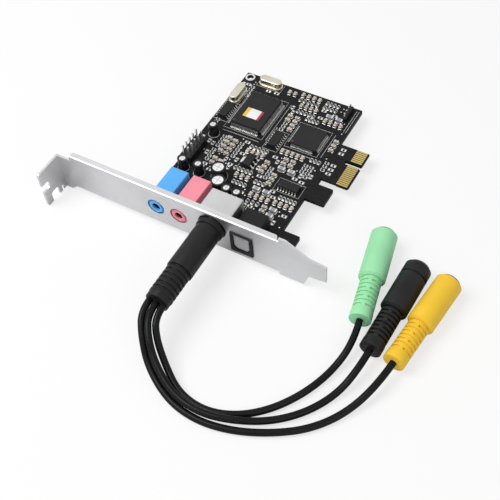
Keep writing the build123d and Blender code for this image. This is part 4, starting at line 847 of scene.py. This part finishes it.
def is_free(x, y, reach_x, reach_y):
    """Whether a rectangle lies on the board and clear of its corner hole and of all that is taken."""
    inside = BOARD_LOW.x + EDGE_MARGIN < x - reach_x and x + reach_x < BOARD_HIGH.x - EDGE_MARGIN
    inside = inside and CONNECTORS_BACK < y - reach_y and y + reach_y < BOARD_HIGH.y - EDGE_MARGIN
    if (Vector((x, y)) - CORNER_HOLE).length < HOLE_MARGIN:
        return False
    for low, high in taken:
        if low.x - reach_x < x < high.x + reach_x and low.y - reach_y < y < high.y + reach_y:
            return False
    return inside


def free_places(count, reach_x, reach_y):
    """Seeded places with room around them; each place found is taken for the next."""
    found = []
    for _ in range(count):
        x = draw.uniform(BOARD_LOW.x, BOARD_HIGH.x)
        y = draw.uniform(CONNECTORS_BACK, BOARD_HIGH.y)
        if is_free(x, y, reach_x, reach_y):
            found.append((x, y))
            reach = Vector((reach_x, reach_y, 0))
            taken.append((Vector((x, y, 0)) - reach, Vector((x, y, 0)) + reach))
    return found


# Bare tinned pads in pairs, with print on both sides
bare_places, bare_lines = [], []
half_gap = BARE_GAP / 2
half_run = half_gap + BARE_PAD.x / 2
half_width = BARE_PAD.y / 2
print_side = half_width + BARE_PRINT_GAP


def bare_pair(x, y, upright):
    """Two pads, in a row along Y if upright and else along X, with a line on each side."""
    size = (BARE_PAD.y, BARE_PAD.x) if upright else (BARE_PAD.x, BARE_PAD.y)
    for side in (-1, 1):
        offset = (0, side * half_gap) if upright else (side * half_gap, 0)
        centre = Vector((x + offset[0], y + offset[1], BOARD_TOP))
        bare_places.append(scaled(centre, (*size, 2 * PAD_HEIGHT)))
        if upright:
            line_x = x + side * print_side
            bare_lines.append(straight((line_x, y - half_run), (line_x, y + half_run)))
        else:
            line_y = y + side * print_side
            bare_lines.append(straight((x - half_run, line_y), (x + half_run, line_y)))


for upright in (False, True):
    reach = (half_run, half_width + BARE_PRINT_ROOM)
    for x, y in free_places(BARE_TRIES, *(reach[::-1] if upright else reach)):
        bare_pair(x, y, upright)
contacts_low, contacts_high = (Vector(place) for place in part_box("edge_contacts"))
for share in NECK_PADS:
    along = contacts_low.y + share * (contacts_high.y - contacts_low.y)
    bare_pair(BOARD_HIGH.x + NECK_INSET, along, False)
wear(copies(block(PAD_ROUNDING), bare_places, "bare_pads"), tin)

# Print along the far right corner
bare_lines += [straight((x, HATCH_Y[0]), (x, HATCH_Y[1])) for x in HATCH_X]
print_lines("silk_marks", bare_lines)

# Vias: tinned rings with a sunk middle
via = sunk_disc(
    vertices=10,
    radius=VIA_RADIUS,
    height=2 * PAD_HEIGHT,
    rim=VIA_RIM * VIA_RADIUS,
    sink=VIA_SINK * PAD_HEIGHT,
)
via_spots = free_places(VIA_TRIES, VIA_ROOM, VIA_ROOM)
wear(copies(via, [Matrix.Translation((*spot, BOARD_TOP)) for spot in via_spots], "vias"), tin)

# Ring of bare copper round the corner hole
corner_profile = ring_profile(CORNER_PAD_BORE, CORNER_PAD_RADIUS, 0, PAD_HEIGHT)
corner_pad = turn_profile("corner_pad", corner_profile, RING_STEPS)
upwards = Matrix.Rotation(math.pi / 2, 4, "X")
corner_pad.matrix_world = Matrix.Translation((*CORNER_HOLE, BOARD_TOP)) @ upwards
settle(corner_pad)
wear(corner_pad, tin)

# Solder round the leads on the underside
board_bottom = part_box("circuit_board")[0][2]
deselect_all()
bpy.ops.mesh.primitive_cone_add(vertices=14, radius1=JOINT_FOOT, radius2=JOINT_TIP, depth=JOINT_HEIGHT)
joint = bpy.context.object
soften(joint, JOINT_ROUNDING, 1)
joint_places = []
for name in ("capacitor_leads", "crystal_leads", "panel_header_pins", "aux_header_pins", "optical_legs"):
    for points in solids(name):
        lowest = corner(points, min).z
        if lowest < board_bottom - LEAD_TIP:
            foot = [point for point in points if point.z < lowest + LEAD_TIP]
            middle = (corner(foot, min) + corner(foot, max)) / 2
            place = Matrix.Translation((middle.x, middle.y, board_bottom - JOINT_HEIGHT / 2))
            joint_places.append(place @ Matrix.Rotation(math.pi, 4, "X"))
wear(copies(joint, joint_places, "solder_joints"), tin)

# Scored vents on the cans, in darker metal that is painted shade of the grooves
score_places = []
for low, high in solid_boxes("capacitor_cans"):
    centre = (low + high) / 2
    centre.z = high.z
    run = VENT_SHARE * (high.x - low.x)
    for size in ((run, VENT_WIDTH), (VENT_WIDTH, run)):
        score_places.append(scaled(centre, (*size, 2 * PAD_HEIGHT)))
wear(copies(block(VENT_ROUNDING), score_places, "can_vents"), vent_painted_shade)

# Painted shade: black sleeves inside the panel jacks' bores, where the deep holes lie in shade
shade_sleeve_profile = ring_profile(SHADE_SLEEVE_BORE, SHADE_SLEEVE_RADIUS, SHADE_SLEEVE_START, SHADE_SLEEVE_END)
for name, x in (("line_in_shade_sleeve", LINE_IN_X), ("mic_shade_sleeve", MIC_X)):
    shade_sleeve = turn_profile(name, shade_sleeve_profile, RING_STEPS)
    soften(shade_sleeve, SHADE_SLEEVE_ROUNDING, 1)
    shade_sleeve.matrix_world = Matrix.Translation((x, FACE_Y, JACK_Z))
    settle(shade_sleeve)
    wear(shade_sleeve, black_plastic)

# Moulded dimples at the chips' first pins
dimple_places = []
for name, share in PIN_MARKS.items():
    radius = share * PIN_MARK_RADIUS
    for low, high in solid_boxes(name):
        inset = PIN_MARK_INSET * radius
        centre = Vector((low.x + inset, low.y + inset, high.z))
        dimple_places.append(scaled(centre, (radius, radius, PAD_HEIGHT)))
dimple = sunk_disc(vertices=20, radius=1, height=1, rim=0.25, sink=0.4)
wear(copies(dimple, dimple_places, "pin_marks"), resistor_black)

# Plain sticker on the audio chip
chip_low, chip_high = (Vector(place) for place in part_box("audio_chip"))
sticker_centre = Vector(((chip_low.x + chip_high.x) / 2, chip_low.y + STICKER_INSET, chip_high.z))
deselect_all()
bpy.ops.mesh.primitive_cube_add(size=1)
sticker = bpy.context.object
sticker.name = "chip_sticker"
sticker.matrix_world = scaled(sticker_centre, STICKER_SIZE)
settle(sticker)
soften(sticker, STICKER_ROUNDING, 2)
wear(sticker, sticker_paper("sticker_paper", sticker_centre.x, STICKER_SIZE.x))


# Floor, light and background
def make_floor():
    """White floor that keeps its shadows and looks lighter to the camera alone."""
    deselect_all()
    bpy.ops.mesh.primitive_plane_add(size=FLOOR_SIZE, location=(0, 0, -FLOOR_DROP))
    floor = bpy.context.object
    floor.name = "floor"
    material, tree, shader, _ = start_material("floor_paper")
    shader.inputs["Base Color"].default_value = (0.86, 0.86, 0.86, 1)
    shader.inputs["Roughness"].default_value = 0.9
    shader.inputs["Specular IOR Level"].default_value = 0
    glow = tree.nodes.new("ShaderNodeEmission")
    path = tree.nodes.new("ShaderNodeLightPath")
    share = tree.nodes.new("ShaderNodeMath")
    share.operation = "MULTIPLY"
    share.inputs[1].default_value = FLOOR_GLOW
    tree.links.new(path.outputs["Is Camera Ray"], share.inputs[0])
    mix = tree.nodes.new("ShaderNodeMixShader")
    tree.links.new(share.outputs["Value"], mix.inputs["Fac"])
    tree.links.new(shader.outputs["BSDF"], mix.inputs[1])
    tree.links.new(glow.outputs["Emission"], mix.inputs[2])
    tree.links.new(mix.outputs["Shader"], tree.nodes["Material Output"].inputs["Surface"])
    floor.data.materials.append(material)


def make_softbox(name, place, power):
    """Square lamp turned to the middle of the card."""
    data = bpy.data.lights.new(name, "AREA")
    data.size = LAMP_SIZE
    data.energy = power
    lamp = bpy.data.objects.new(name, data)
    lamp.location = place
    lamp.rotation_euler = (Vector(LAMP_AIM) - Vector(place)).to_track_quat("-Z", "Y").to_euler()
    bpy.context.collection.objects.link(lamp)


def make_world():
    """Soft surround that the camera and reflections see as white."""
    world = bpy.data.worlds.new("studio")
    bpy.context.scene.world = world
    world.use_nodes = True
    tree = world.node_tree
    soft = tree.nodes["Background"]
    soft.inputs["Color"].default_value = (1, 1, 1, 1)
    soft.inputs["Strength"].default_value = SURROUND
    white = tree.nodes.new("ShaderNodeBackground")
    white.inputs["Color"].default_value = (1, 1, 1, 1)
    path = tree.nodes.new("ShaderNodeLightPath")
    seen = path.outputs["Is Camera Ray"]
    for ray in ("Is Glossy Ray", "Is Transmission Ray"):
        either = tree.nodes.new("ShaderNodeMath")
        either.operation = "MAXIMUM"
        tree.links.new(seen, either.inputs[0])
        tree.links.new(path.outputs[ray], either.inputs[1])
        seen = either.outputs["Value"]
    mix = tree.nodes.new("ShaderNodeMixShader")
    tree.links.new(seen, mix.inputs["Fac"])
    tree.links.new(soft.outputs["Background"], mix.inputs[1])
    tree.links.new(white.outputs["Background"], mix.inputs[2])
    tree.links.new(mix.outputs["Shader"], tree.nodes["World Output"].inputs["Surface"])


make_floor()
make_softbox("key_softbox", KEY_PLACE, KEY_POWER)
make_softbox("fill_softbox", FILL_PLACE, FILL_POWER)
make_world()
bpy.context.scene.view_settings.view_transform = "Standard"

deselect_all()
